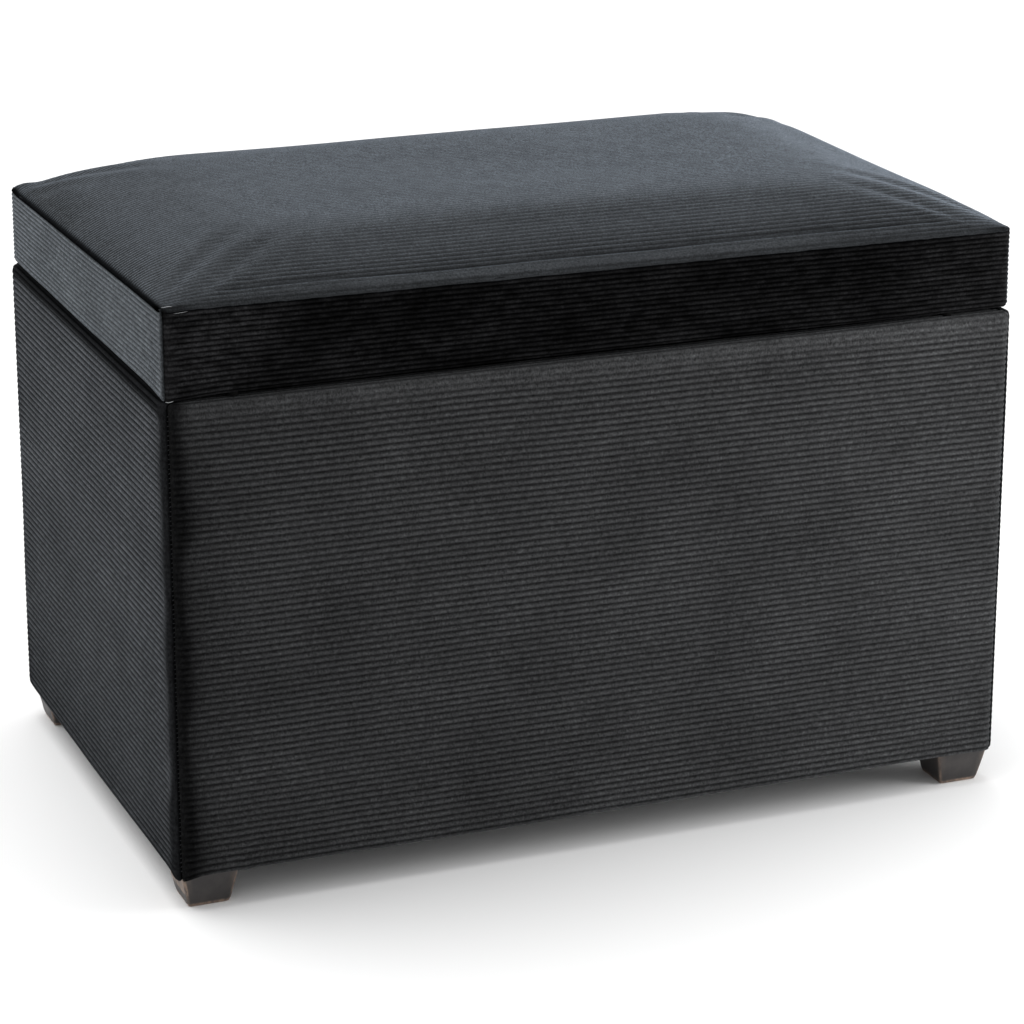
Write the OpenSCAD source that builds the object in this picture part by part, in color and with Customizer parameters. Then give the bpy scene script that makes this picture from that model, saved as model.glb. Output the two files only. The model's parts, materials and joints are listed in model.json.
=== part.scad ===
// Upholstered storage bench: a fabric-covered wooden box on four block feet, with a padded lid
// that turns on two rear hinges and is held up by two gas struts.
// Millimetres. Origin on the floor under the middle of the box, +X to the right, front at -Y, +Z up.

/* [Box] */
// Width of the box over its fabric
box_w = 620; // [560:10:700]
// Depth of the box over its fabric
box_d = 400; // [380:10:440]
// Height of the box's rim above the floor
rim_z = 355; // [320:5:365]
// Height of the feet, which is where the fabric ends
foot_h = 25; // [20:1:40]
// Thickness of the wooden panels
panel_t = 12; // [12:1:15]
// Thickness of the corduroy with its thin wadding
cover_t = 3; // [3:0.5:4]
// Radius of the box's upright corners
corner_r = 12; // [10:1:13]

/* [Lid] */
// How far the lid stands in from the box at each end
lid_in_x = 2; // [1:0.5:4]
// How far the lid stands in from the box at front and back
lid_in_y = 6; // [6:0.5:8]
// Gap between the rim and the underside of the lid
lid_gap = 2.4; // [2.4:0.1:3]
// Height of the seam round the top of the lid above the floor
seam_z = 413; // [405:1:440]
// How far the seat swells above its seam
crown = 31; // [20:1:40]
// Opening angle that the struts allow
open_angle = 85; // [75:1:88]

/* [Feet] */
// Width of a foot at its top
foot_top = 40; // [36:1:44]
// Width of a foot on the floor
foot_bottom = 29.5; // [26:0.5:34]
// Distance from the box's fabric to a foot
foot_in = 5; // [4:0.5:8]

/* [Hinges] */
// Length of each hinge
hinge_l = 90; // [60:5:120]
// Distance of each hinge from the middle
hinge_x = 190; // [120:5:220]
// Radius of the hinge pin
pin_r = 1.6; // [1.4:0.1:1.8]

/* [Gas struts] */
// Distance from the hinge line to either end of a strut
strut_arm = 170; // [160:1:175]
// How far forward of the hinge line a strut's lower end sits
strut_fore = 40; // [36:1:44]
// How far below the hinge line a strut's upper end sits when the lid is shut
strut_drop = 16; // [15:1:18]
// Radius of a strut's tube
tube_r = 7.5; // [7:0.25:8]
// Radius of a strut's rod
rod_r = 3; // [2.5:0.25:3.5]

/* [Hidden] */
$fn = 64;
eps = 0.01;

// Running clearance on a radius
run_fit = 0.05;

// Box
hem_t = 2;
hem_w = 20;
in_x = box_w / 2 - cover_t;
in_y = box_d / 2 - cover_t;
panel_corner_r = corner_r - cover_t;
cav_x = in_x - panel_t;
cav_y = in_y - panel_t;
wood_z0 = foot_h + hem_t;
wood_z1 = rim_z - hem_t;
base_t = 12;
base_z1 = wood_z0 + base_t;
lining_t = 0.8;
face_x = cav_x - lining_t;
foot_cx = box_w / 2 - foot_in - foot_top / 2;
foot_cy = box_d / 2 - foot_in - foot_top / 2;
dust_z = wood_z0 - 1;

// Panel screws
screw_l = 50;
screw_r = 2.5;
screw_head_r = 4;
screw_head_h = 3;
screw_sink = 4;
side_screw_z = [for (k = [1:3]) wood_z0 + k * (wood_z1 - wood_z0) / 4];
base_screw_x = [-200, 0, 200];
base_screw_y = [-90, 90];

// Foot fasteners
bolt_r = 3;
bolt_z0 = 6;
nut_flange_r = 9.5;
nut_flange_t = 1.2;
nut_barrel_r = 4;
nut_barrel_l = 9;

// Lid
lid_w = box_w - 2 * lid_in_x;
lid_d = box_d - 2 * lid_in_y;
lid_z = rim_z + lid_gap;
lid_corner_r = 5;
band_t = 2.5;
band_hem_t = 1.6;
band_hem_w = 22;
frame_w = lid_w - 2 * band_t;
frame_d = lid_d - 2 * band_t;
rail_w = 28;
rail_z0 = lid_z + band_hem_t;
rail_z1 = rail_z0 + 30;
board_t = 6;
board_z1 = rail_z1 + board_t;
band_z1 = seam_z - band_t;
lid_lining_z = lid_z + 0.6;
board_screw_l = 22;
board_screw_r = 1.75;
board_screw_head_r = 3.5;
board_screw_head_h = 2;
board_screw_x = [-250, 0, 250];
bumper_r = 4;
bumper_in = 50;
bumper_clear = 0.1;

// Seat crown: how square its plan is along X and along Y, and the grid of its solid
crown_nx = 10;
crown_ny = 7;
grid_x = 10;
grid_y = 8;
foam_clear = 1;

// Hinges: the pin lies in the step behind the lid
leaf_t = 1.1;
knuckle_r = 2.9;
knuckle_gap = 0.3;
knuckle_clear = 0.5;
leaf_gap = 0.1;
knuckles = 5;
hinge_y = box_d / 2 - 3;
hinge_z = rim_z + lid_gap / 2;
leaf_y0 = cav_y - knuckle_clear;
leaf_y1 = hinge_y - knuckle_r - knuckle_clear;
leaf_tab_y1 = hinge_y - 1.8;
hinge_screw_y = cav_y + 4.5;
hinge_screw_r = 1.25;
hinge_screw_head_r = 2.5;
hinge_screw_l = 14;
hinge_screw_x = [-30, 0, 30];
half_knuckle = hinge_l / knuckles;

// Struts: both ends lie on one circle round the hinge line, so a strut turns by half the lid's angle
strut_x = cav_x - 12;
low_y = hinge_y - strut_fore;
low_z = hinge_z - sqrt(strut_arm * strut_arm - strut_fore * strut_fore);
high_y = hinge_y - sqrt(strut_arm * strut_arm - strut_drop * strut_drop);
high_z = hinge_z - strut_drop;
strut_l = norm([low_y - high_y, low_z - high_z]);
strut_tilt = atan2(low_y - high_y, high_z - low_z);
shut_angle = 2 * asin(strut_l / 2 / strut_arm);
stroke = 2 * strut_arm * sin((shut_angle + open_angle) / 2) - strut_l;
stud_r = 3;
eye_r = 6.5;
eye_w = 8;
neck_r = 3.8;
neck_l = 14;
tube_z0 = neck_l + 6;
tube_z1 = strut_l - neck_l;
tube_wall = 1;
guide_l = 8;
cap_l = 3;
piston_l = 6;
piston_z0 = tube_z1 - cap_l - piston_l - 2;
spigot_r = rod_r - 0.5;
thread_l = 6;
plate_t = 2;
plate_y = 28;
plate_z = 40;
plate_screw_dz = 13;
ear_t = 2;
ear_x = strut_x + eye_w / 2 + 1;
flange_t = 1.5;
flange_y = 34;
flange_x0 = strut_x - 7;
flange_screw_dy = 12;
flange_screw_l = 14;
small_screw_r = 1.5;
small_head_r = 3;
small_head_h = 1.6;
clip_t = 0.8;
eye_gap = 0.3;
clip_x = strut_x - eye_w / 2 - eye_gap;
stud_x0 = clip_x - clip_t - 0.4;
shoulder_r = stud_r + 2;
shoulder_x0 = strut_x + eye_w / 2 + eye_gap;

// Staples
crown_l = 10;
wire_w = 0.8;
wire_t = 0.6;
leg_l = 6;

CORD = [0.16, 0.17, 0.18];
LINING = [0.07, 0.07, 0.075];
WOOD = [0.76, 0.62, 0.44];
PLY = [0.83, 0.72, 0.54];
FOAM = [0.93, 0.88, 0.68];
STEEL = [0.68, 0.69, 0.71];
BLACK_STEEL = [0.12, 0.12, 0.13];
FOOT = [0.11, 0.09, 0.08];
RUBBER = [0.08, 0.08, 0.08];

// ---------- shared shapes ----------

// A rectangle with round corners, or sharp ones where r is 0
module round_rect(w, d, r) {
    square([w - 2 * r, d], center = true);
    if (r > 0) {
        square([w, d - 2 * r], center = true);
        for (x = [-1, 1], y = [-1, 1])
            translate([x * (w / 2 - r), y * (d / 2 - r)]) circle(r);
    }
}

// The part of a w by d outline that belongs to one side, mitred at its corners. Turn 0 is the front.
module side_sector(w, d, turn) {
    across = turn % 180 == 0;
    run = across ? w : d;
    deep = 45;
    rotate(turn) translate([0, -(across ? d : w) / 2])
        polygon([[-run / 2 - 1, -1], [run / 2 + 1, -1], [run / 2 - deep, deep], [-run / 2 + deep, deep]]);
}

// One side of a wall of fabric between an outer and an inner outline
module side_wall(w, d, r, inner_w, inner_d, inner_r, turn, z0, z1) {
    translate([0, 0, z0]) linear_extrude(z1 - z0) intersection() {
        difference() {
            round_rect(w, d, r);
            round_rect(inner_w, inner_d, inner_r);
        }
        side_sector(w, d, turn);
    }
}

module at_feet() {
    for (x = [-1, 1], y = [-1, 1]) translate([x * foot_cx, y * foot_cy, 0]) children();
}

module both_sides() {
    children();
    mirror([1, 0, 0]) children();
}

// A countersunk or confirmat screw along -Z from its head at the origin
module screw(l, r, head_r, head_h) {
    translate([0, 0, -l]) cylinder(h = l, r = r);
    translate([0, 0, -head_h]) cylinder(h = head_h, r1 = r, r2 = head_r);
}

// A pan-head screw along +Z, its head under the origin
module pan_screw(l) {
    cylinder(h = l, r = small_screw_r);
    translate([0, 0, -small_head_h]) cylinder(h = small_head_h, r = small_head_r);
}

// A staple driven up into the wood from below, its back along X
module staple() {
    translate([-crown_l / 2, -wire_w / 2, -wire_t]) cube([crown_l, wire_w, wire_t]);
    staple_legs();
}

module staple_legs() {
    for (x = [-1, 1])
        translate([x * (crown_l - wire_w) / 2 - wire_w / 2, -wire_w / 2, 0]) cube([wire_w, wire_w, leg_l]);
}

// ---------- fasteners that holes are cut for ----------

module panel_screws() {
    color(STEEL) all_panel_screws();
}

module all_panel_screws() {
    for (x = [-1, 1], y = [-1, 1], z = side_screw_z)
        translate([x * (cav_x + panel_t / 2), y * (in_y - screw_sink), z]) turned_in(y) panel_screw();
    for (x = base_screw_x, y = [-1, 1])
        translate([x, y * (in_y - screw_sink), wood_z0 + base_t / 2]) turned_in(y) panel_screw();
    for (x = [-1, 1], y = base_screw_y)
        translate([x * (in_x - screw_sink), y, wood_z0 + base_t / 2]) rotate([0, x * 90, 0]) panel_screw();
}

// Turns a screw drawn along -Z so that it runs inward from the front (y < 0) or the back
module turned_in(y) {
    rotate([y > 0 ? -90 : 90, 0, 0]) children();
}

module panel_screw() {
    screw(screw_l, screw_r, screw_head_r, screw_head_h);
}

// The holes over the panel screws' sunk heads
module panel_screw_sinks() {
    for (x = [-1, 1], y = [-1, 1], z = side_screw_z)
        translate([x * (cav_x + panel_t / 2), y * (in_y - screw_sink), z]) turned_in(y) sink();
    for (x = base_screw_x, y = [-1, 1])
        translate([x, y * (in_y - screw_sink), wood_z0 + base_t / 2]) turned_in(y) sink();
    for (x = [-1, 1], y = base_screw_y)
        translate([x * (in_x - screw_sink), y, wood_z0 + base_t / 2]) rotate([0, x * 90, 0]) sink();
}

module sink() {
    cylinder(h = screw_sink + 1, r = screw_head_r);
}

// Staple places: along the panels' lower edges, and along the edge of the dust cover
cover_staple_x = [for (x = [-240:60:240]) x];
cover_staple_y = [for (y = [-120:60:120]) y];
dust_staple_x = [for (x = [-240:80:240]) x];
dust_staple_y = [for (y = [-120:80:120]) y];
dust_staple_in = 6;
lid_staple_x = [for (x = [-270:60:270]) x];
lid_staple_y = [for (y = [-120:60:120]) y];
lid_staple_in = 14;

module at_cover_staples() {
    for (x = cover_staple_x, y = [-1, 1]) translate([x, y * (cav_y + panel_t / 2), foot_h]) children();
    for (y = cover_staple_y, x = [-1, 1])
        translate([x * (cav_x + panel_t / 2), y, foot_h]) rotate(90) children();
}

module at_dust_staples() {
    dx = box_w / 2 - hem_w - dust_staple_in;
    dy = box_d / 2 - hem_w - dust_staple_in;
    for (x = dust_staple_x, y = [-1, 1]) translate([x, y * dy, dust_z]) children();
    for (y = dust_staple_y, x = [-1, 1]) translate([x * dx, y, dust_z]) rotate(90) children();
}

module at_lid_staples() {
    for (x = lid_staple_x, y = [-1, 1])
        translate([x, y * (lid_d / 2 - lid_staple_in), lid_z]) children();
    for (y = lid_staple_y, x = [-1, 1])
        translate([x * (lid_w / 2 - lid_staple_in), y, lid_z]) rotate(90) children();
}

module base_staples() {
    color(STEEL) {
        at_cover_staples() staple();
        at_dust_staples() staple();
    }
}

module lid_staples() {
    color(STEEL) at_lid_staples() staple();
}

// ---------- box ----------

module end_panel(y) {
    color(WOOD) difference() {
        translate([0, 0, wood_z0]) linear_extrude(wood_z1 - wood_z0) intersection() {
            round_rect(2 * in_x, 2 * in_y, panel_corner_r);
            translate([-in_x, y > 0 ? cav_y : -in_y]) square([2 * in_x, panel_t]);
        }
        all_panel_screws();
        panel_screw_sinks();
        at_cover_staples() staple_legs();
        all_hinge_box_screws();
    }
}

module front_panel() { end_panel(-1); }
module back_panel() { end_panel(1); }

module side_panel(x) {
    color(WOOD) difference() {
        translate([x > 0 ? cav_x : -in_x, -cav_y, wood_z0]) cube([panel_t, 2 * cav_y, wood_z1 - wood_z0]);
        all_panel_screws();
        panel_screw_sinks();
        at_cover_staples() staple_legs();
        all_box_bracket_screws();
    }
}

module left_panel() { side_panel(-1); }
module right_panel() { side_panel(1); }

module base_panel() {
    color(WOOD) difference() {
        translate([-cav_x, -cav_y, wood_z0]) cube([2 * cav_x, 2 * cav_y, base_t]);
        all_panel_screws();
        at_dust_staples() staple_legs();
        at_feet() {
            translate([0, 0, wood_z0 - eps]) cylinder(h = base_t, r = nut_barrel_r);
            translate([0, 0, base_z1 - nut_flange_t]) cylinder(h = base_t, r = nut_flange_r);
        }
    }
}

module box_cover(turn) {
    color(CORD) difference() {
        union() {
            side_wall(box_w, box_d, corner_r, box_w - 2 * hem_w, box_d - 2 * hem_w, 0, turn, foot_h, wood_z0);
            side_wall(box_w, box_d, corner_r, 2 * in_x, 2 * in_y, panel_corner_r, turn, wood_z0, wood_z1);
            side_wall(box_w, box_d, corner_r, 2 * cav_x, 2 * cav_y, 0, turn, wood_z1, rim_z);
        }
        at_cover_staples() staple_legs();
        for (x = [-1, 1]) translate([x * hinge_x - hinge_l / 2 - 1, leaf_y1, wood_z1])
            cube([hinge_l + 2, box_d, hem_t + 1]);
        all_hinge_box_screws();
    }
}

module front_cover() { box_cover(0); }
module right_cover() { box_cover(90); }
module back_cover() { box_cover(180); }
module left_cover() { box_cover(270); }

module box_lining() {
    color(LINING) difference() {
        translate([-cav_x, -cav_y, base_z1 + lining_t])
            cube([2 * cav_x, 2 * cav_y, wood_z1 - base_z1 - lining_t]);
        translate([-face_x, -cav_y + lining_t, 0]) cube([2 * face_x, 2 * (cav_y - lining_t), rim_z]);
        all_box_bracket_screws();
    }
}

module floor_lining() {
    color(LINING) translate([-cav_x, -cav_y, base_z1]) cube([2 * cav_x, 2 * cav_y, lining_t]);
}

module dust_cover() {
    w = box_w - 2 * hem_w - 2;
    d = box_d - 2 * hem_w - 2;
    color(LINING) difference() {
        translate([-w / 2, -d / 2, dust_z]) cube([w, d, lining_t]);
        at_feet() translate([0, 0, dust_z - 1]) cylinder(h = 4, r = bolt_r + 0.2);
        at_dust_staples() staple_legs();
    }
}

// ---------- feet ----------

module foot_side() {
    t = foot_top / 2;
    b = foot_bottom / 2;
    translate([0, 0, -foot_top]) linear_extrude(2 * foot_top)
        polygon([[-b, 0], [b, 0], [t, foot_h], [-t, foot_h]]);
}

module foot(x, y) {
    color(FOOT) translate([x * foot_cx, y * foot_cy, 0]) difference() {
        intersection() {
            rotate([90, 0, 0]) foot_side();
            rotate([90, 0, 90]) foot_side();
        }
        translate([0, 0, bolt_z0]) cylinder(h = foot_h, r = bolt_r);
    }
}

module front_left_foot() { foot(-1, -1); }
module front_right_foot() { foot(1, -1); }
module back_left_foot() { foot(-1, 1); }
module back_right_foot() { foot(1, 1); }

module foot_bolts() {
    color(STEEL) at_feet() translate([0, 0, bolt_z0]) cylinder(h = base_z1 - 1 - bolt_z0, r = bolt_r);
}

module foot_nuts() {
    color(STEEL) at_feet() difference() {
        union() {
            translate([0, 0, base_z1 - nut_barrel_l]) cylinder(h = nut_barrel_l, r = nut_barrel_r);
            translate([0, 0, base_z1 - nut_flange_t]) cylinder(h = nut_flange_t, r = nut_flange_r);
        }
        translate([0, 0, foot_h]) cylinder(h = base_t * 2, r = bolt_r);
    }
}

// ---------- lid ----------

module long_rail(y) {
    y0 = y > 0 ? frame_d / 2 - rail_w : -frame_d / 2;
    color(PLY) difference() {
        translate([-frame_w / 2, y0, rail_z0]) cube([frame_w, rail_w, rail_z1 - rail_z0]);
        at_lid_staples() staple_legs();
        all_hinge_lid_screws();
        all_lid_board_screws();
    }
}

module lid_front_rail() { long_rail(-1); }
module lid_back_rail() { long_rail(1); }

module short_rail(x) {
    x0 = x > 0 ? frame_w / 2 - rail_w : -frame_w / 2;
    run = frame_d - 2 * rail_w;
    color(PLY) difference() {
        translate([x0, -run / 2, rail_z0]) cube([rail_w, run, rail_z1 - rail_z0]);
        at_lid_staples() staple_legs();
        all_lid_bracket_screws();
        all_lid_board_screws();
    }
}

module lid_left_rail() { short_rail(-1); }
module lid_right_rail() { short_rail(1); }

module all_lid_board_screws() {
    for (x = board_screw_x, y = [-1, 1]) translate([x, y * (frame_d - rail_w) / 2, board_z1]) board_screw();
    for (x = [-1, 1]) translate([x * (frame_w - rail_w) / 2, 0, board_z1]) board_screw();
}

module board_screw() {
    screw(board_screw_l, board_screw_r, board_screw_head_r, board_screw_head_h);
}

module lid_board_screws() {
    color(STEEL) all_lid_board_screws();
}

module lid_board() {
    color(PLY) difference() {
        translate([-frame_w / 2, -frame_d / 2, rail_z1]) cube([frame_w, frame_d, board_t]);
        all_lid_board_screws();
    }
}

// Height of the seat's fabric over a point of the plan
function seat_z(x, y) = seam_z + crown
    * (1 - pow(min(1, abs(2 * x / lid_w)), crown_nx)) * (1 - pow(min(1, abs(2 * y / lid_d)), crown_ny));

// A closed solid under the seat's surface over a plan of 2 hx by 2 hy. It ends drop below that surface,
// and its underside is flat at floor_z, or follows the surface skin below the top when skin is above 0.
module under_seat(hx, hy, drop, floor_z, skin) {
    nx = 2 * grid_x + 1;
    ny = 2 * grid_y + 1;
    // Points are closer together towards the edges, where the seat curves down
    xs = [for (i = [-grid_x:grid_x]) hx * sin(90 * i / grid_x)];
    ys = [for (j = [-grid_y:grid_y]) hy * sin(90 * j / grid_y)];
    top = [for (y = ys) for (x = xs) [x, y, seat_z(x, y) - drop]];
    under = [for (y = ys) for (x = xs) [x, y, skin > 0 ? seat_z(x, y) - drop - skin : floor_z]];
    n = nx * ny;
    cells = [for (j = [0:ny - 2]) for (i = [0:nx - 2]) j * nx + i];
    up = [for (c = cells) each [[c, c + nx, c + nx + 1], [c, c + nx + 1, c + 1]]];
    down = [for (c = cells) each [[n + c, n + c + nx + 1, n + c + nx], [n + c, n + c + 1, n + c + nx + 1]]];
    edge = concat(
        [for (i = [0:nx - 1]) i],
        [for (j = [1:ny - 1]) j * nx + nx - 1],
        [for (i = [nx - 2:-1:0]) (ny - 1) * nx + i],
        [for (j = [ny - 2:-1:1]) j * nx]);
    rim = [for (k = [0:len(edge) - 1]) let (a = edge[k], b = edge[(k + 1) % len(edge)])
        each [[a, b, n + b], [a, n + b, n + a]]];
    polyhedron(points = concat(top, under), faces = concat(up, down, rim));
}

module seat_foam() {
    color(FOAM) under_seat(frame_w / 2, frame_d / 2, band_t + foam_clear, board_z1, 0);
}

module seat_cover() {
    color(CORD) under_seat(lid_w / 2, lid_d / 2, 0, 0, band_t);
}

module lid_band(turn) {
    color(CORD) difference() {
        union() {
            side_wall(lid_w, lid_d, lid_corner_r, lid_w - 2 * band_hem_w, lid_d - 2 * band_hem_w, 0,
                turn, lid_z, rail_z0);
            side_wall(lid_w, lid_d, lid_corner_r, frame_w, frame_d, 0, turn, rail_z0, band_z1);
        }
        at_lid_staples() staple_legs();
        all_hinge_lid_screws();
    }
}

module front_band() { lid_band(0); }
module right_band() { lid_band(90); }
module back_band() { lid_band(180); }
module left_band() { lid_band(270); }

module lid_lining() {
    w = lid_w - 2 * band_hem_w - 1;
    d = lid_d - 2 * band_hem_w - 1;
    color(LINING) difference() {
        translate([-w / 2, -d / 2, lid_lining_z]) cube([w, d, lining_t]);
        all_lid_bracket_screws();
    }
}

module lid_bumpers() {
    color(RUBBER) both_sides()
        translate([box_w / 2 - bumper_in, -(cav_y + bumper_r), rim_z + bumper_clear])
            cylinder(h = lid_gap - bumper_clear, r = bumper_r);
}

// ---------- hinges ----------

// first is the first of the knuckles that this leaf carries; side is 1 for the lid's leaf, -1 for the box's
module hinge_leaf(first, side) {
    z0 = side > 0 ? hinge_z + leaf_gap : hinge_z - leaf_gap - leaf_t;
    own = [for (k = [first:2:knuckles - 1]) -hinge_l / 2 + k * half_knuckle + knuckle_gap / 2];
    color(STEEL) difference() {
        union() {
            translate([-hinge_l / 2, leaf_y0, z0]) cube([hinge_l, leaf_y1 - leaf_y0, leaf_t]);
            for (x = own) {
                translate([x, leaf_y1 - eps, z0])
                    cube([half_knuckle - knuckle_gap, leaf_tab_y1 - leaf_y1, leaf_t]);
                translate([x, hinge_y, hinge_z]) rotate([0, 90, 0])
                    cylinder(h = half_knuckle - knuckle_gap, r = knuckle_r);
            }
        }
        translate([-hinge_l, hinge_y, hinge_z]) rotate([0, 90, 0])
            cylinder(h = 2 * hinge_l, r = pin_r + run_fit);
        for (x = hinge_screw_x) translate([x, hinge_screw_y, z0 + (side > 0 ? 0 : leaf_t)])
            rotate([side > 0 ? 180 : 0, 0, 0])
                screw(hinge_screw_l, hinge_screw_r, hinge_screw_head_r, leaf_t);
    }
}

module left_hinge_box_leaf() { translate([-hinge_x, 0, 0]) hinge_leaf(0, -1); }
module right_hinge_box_leaf() { translate([hinge_x, 0, 0]) hinge_leaf(0, -1); }
module left_hinge_lid_leaf() { translate([-hinge_x, 0, 0]) hinge_leaf(1, 1); }
module right_hinge_lid_leaf() { translate([hinge_x, 0, 0]) hinge_leaf(1, 1); }

module hinge_pins() {
    color(STEEL) both_sides() translate([hinge_x - hinge_l / 2, hinge_y, hinge_z]) rotate([0, 90, 0])
        cylinder(h = hinge_l, r = pin_r);
}

module all_hinge_box_screws() {
    both_sides() for (x = hinge_screw_x) translate([hinge_x + x, hinge_screw_y, hinge_z - leaf_gap])
        screw(hinge_screw_l, hinge_screw_r, hinge_screw_head_r, leaf_t);
}

module all_hinge_lid_screws() {
    both_sides() for (x = hinge_screw_x) translate([hinge_x + x, hinge_screw_y, hinge_z + leaf_gap])
        rotate([180, 0, 0]) screw(hinge_screw_l, hinge_screw_r, hinge_screw_head_r, leaf_t);
}

module hinge_box_screws() {
    color(STEEL) all_hinge_box_screws();
}

module hinge_lid_screws() {
    color(STEEL) all_hinge_lid_screws();
}

// ---------- gas struts, drawn on the right and mirrored to the left ----------

module box_bracket() {
    color(BLACK_STEEL) difference() {
        union() {
            translate([face_x - plate_t, low_y - plate_y / 2, low_z - plate_z / 2])
                cube([plate_t, plate_y, plate_z]);
            translate([shoulder_x0, low_y, low_z]) rotate([0, 90, 0])
                cylinder(h = face_x - plate_t + eps - shoulder_x0, r = shoulder_r);
            translate([stud_x0, low_y, low_z]) rotate([0, 90, 0])
                cylinder(h = shoulder_x0 + 1 - stud_x0, r = stud_r);
        }
        all_box_bracket_screws();
    }
}

module right_box_bracket() { box_bracket(); }
module left_box_bracket() { mirror([1, 0, 0]) box_bracket(); }

module all_box_bracket_screws() {
    both_sides() for (dz = [-1, 1]) translate([face_x - plate_t, low_y, low_z + dz * plate_screw_dz])
        rotate([0, 90, 0]) pan_screw(panel_t);
}

module box_bracket_screws() {
    color(STEEL) all_box_bracket_screws();
}

module lid_bracket() {
    color(BLACK_STEEL) difference() {
        union() {
            translate([flange_x0, high_y - flange_y / 2, lid_z - flange_t])
                cube([ear_x + ear_t - flange_x0, flange_y, flange_t]);
            translate([ear_x, high_y - eye_r, high_z]) cube([ear_t, 2 * eye_r, lid_z - high_z - eps]);
            translate([ear_x, high_y, high_z]) rotate([0, 90, 0]) cylinder(h = ear_t, r = eye_r);
            translate([stud_x0, high_y, high_z]) rotate([0, 90, 0])
                cylinder(h = ear_x + ear_t / 2 - stud_x0, r = stud_r);
        }
        all_lid_bracket_screws();
    }
}

module right_lid_bracket() { lid_bracket(); }
module left_lid_bracket() { mirror([1, 0, 0]) lid_bracket(); }

module all_lid_bracket_screws() {
    both_sides() for (dy = [-1, 1])
        translate([strut_x, high_y + dy * flange_screw_dy, lid_z - flange_t]) pan_screw(flange_screw_l);
}

module lid_bracket_screws() {
    color(STEEL) all_lid_bracket_screws();
}

module clip_at(y, z) {
    color(STEEL) both_sides() translate([clip_x - clip_t, y, z]) rotate([0, 90, 0]) difference() {
        cylinder(h = clip_t, r = shoulder_r);
        translate([0, 0, -1]) cylinder(h = 3, r = stud_r);
    }
}

module box_clips() { clip_at(low_y, low_z); }
module lid_clips() { clip_at(high_y, high_z); }

// Puts a piece drawn along +Z on the strut's line, with its lower stud at the origin
module on_strut() {
    translate([strut_x, low_y, low_z]) rotate([strut_tilt, 0, 0]) children();
}

// An eye at the origin whose neck runs along +Z and holds a thread of radius hole_r
module eye(hole_r) {
    difference() {
        union() {
            translate([-eye_w / 2, 0, 0]) rotate([0, 90, 0]) cylinder(h = eye_w, r = eye_r);
            cylinder(h = neck_l, r = neck_r);
        }
        translate([-eye_w, 0, 0]) rotate([0, 90, 0]) cylinder(h = 2 * eye_w, r = stud_r + run_fit);
        translate([0, 0, neck_l - thread_l]) cylinder(h = thread_l + 1, r = hole_r);
    }
}

module strut_tube() {
    color(BLACK_STEEL) on_strut() union() {
        difference() {
            translate([0, 0, tube_z0]) cylinder(h = tube_z1 - tube_z0, r = tube_r);
            translate([0, 0, tube_z0 + guide_l])
                cylinder(h = tube_z1 - tube_z0 - guide_l - cap_l, r = tube_r - tube_wall);
            translate([0, 0, tube_z0 - 1]) cylinder(h = guide_l + 2, r = rod_r + run_fit);
        }
        translate([0, 0, tube_z1 - eps]) cylinder(h = thread_l, r = spigot_r);
    }
}

module strut_top_eye() {
    color(BLACK_STEEL) on_strut() translate([0, 0, strut_l]) rotate([180, 0, 0]) eye(spigot_r);
}

module strut_rod() {
    color(STEEL) on_strut() union() {
        translate([0, 0, neck_l - thread_l]) cylinder(h = piston_z0 - neck_l + thread_l, r = rod_r);
        translate([0, 0, piston_z0 - eps]) cylinder(h = piston_l, r = spigot_r);
    }
}

module strut_piston() {
    color(BLACK_STEEL) on_strut() translate([0, 0, piston_z0]) difference() {
        cylinder(h = piston_l, r = tube_r - tube_wall - run_fit);
        translate([0, 0, -1]) cylinder(h = piston_l + 2, r = spigot_r);
    }
}

module strut_bottom_eye() {
    color(BLACK_STEEL) on_strut() eye(rod_r);
}

module right_strut_tube() { strut_tube(); }
module right_strut_top_eye() { strut_top_eye(); }
module right_strut_rod() { strut_rod(); }
module right_strut_piston() { strut_piston(); }
module right_strut_bottom_eye() { strut_bottom_eye(); }
module left_strut_tube() { mirror([1, 0, 0]) strut_tube(); }
module left_strut_top_eye() { mirror([1, 0, 0]) strut_top_eye(); }
module left_strut_rod() { mirror([1, 0, 0]) strut_rod(); }
module left_strut_piston() { mirror([1, 0, 0]) strut_piston(); }
module left_strut_bottom_eye() { mirror([1, 0, 0]) strut_bottom_eye(); }

front_panel();
back_panel();
left_panel();
right_panel();
base_panel();
panel_screws();
front_cover();
back_cover();
left_cover();
right_cover();
box_lining();
floor_lining();
dust_cover();
base_staples();
front_left_foot();
front_right_foot();
back_left_foot();
back_right_foot();
foot_bolts();
foot_nuts();
lid_front_rail();
lid_back_rail();
lid_left_rail();
lid_right_rail();
lid_board();
lid_board_screws();
seat_foam();
seat_cover();
front_band();
back_band();
left_band();
right_band();
lid_lining();
lid_staples();
lid_bumpers();
left_hinge_box_leaf();
right_hinge_box_leaf();
left_hinge_lid_leaf();
right_hinge_lid_leaf();
hinge_pins();
hinge_box_screws();
hinge_lid_screws();
left_box_bracket();
right_box_bracket();
left_lid_bracket();
right_lid_bracket();
box_bracket_screws();
lid_bracket_screws();
box_clips();
lid_clips();
left_strut_tube();
left_strut_top_eye();
left_strut_rod();
left_strut_piston();
left_strut_bottom_eye();
right_strut_tube();
right_strut_top_eye();
right_strut_rod();
right_strut_piston();
right_strut_bottom_eye();
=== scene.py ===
"""The looks of the storage bench: corduroy and its seams, the padded seat, linings, feet and metalwork."""
import json
import math
from functools import cached_property, partial

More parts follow.
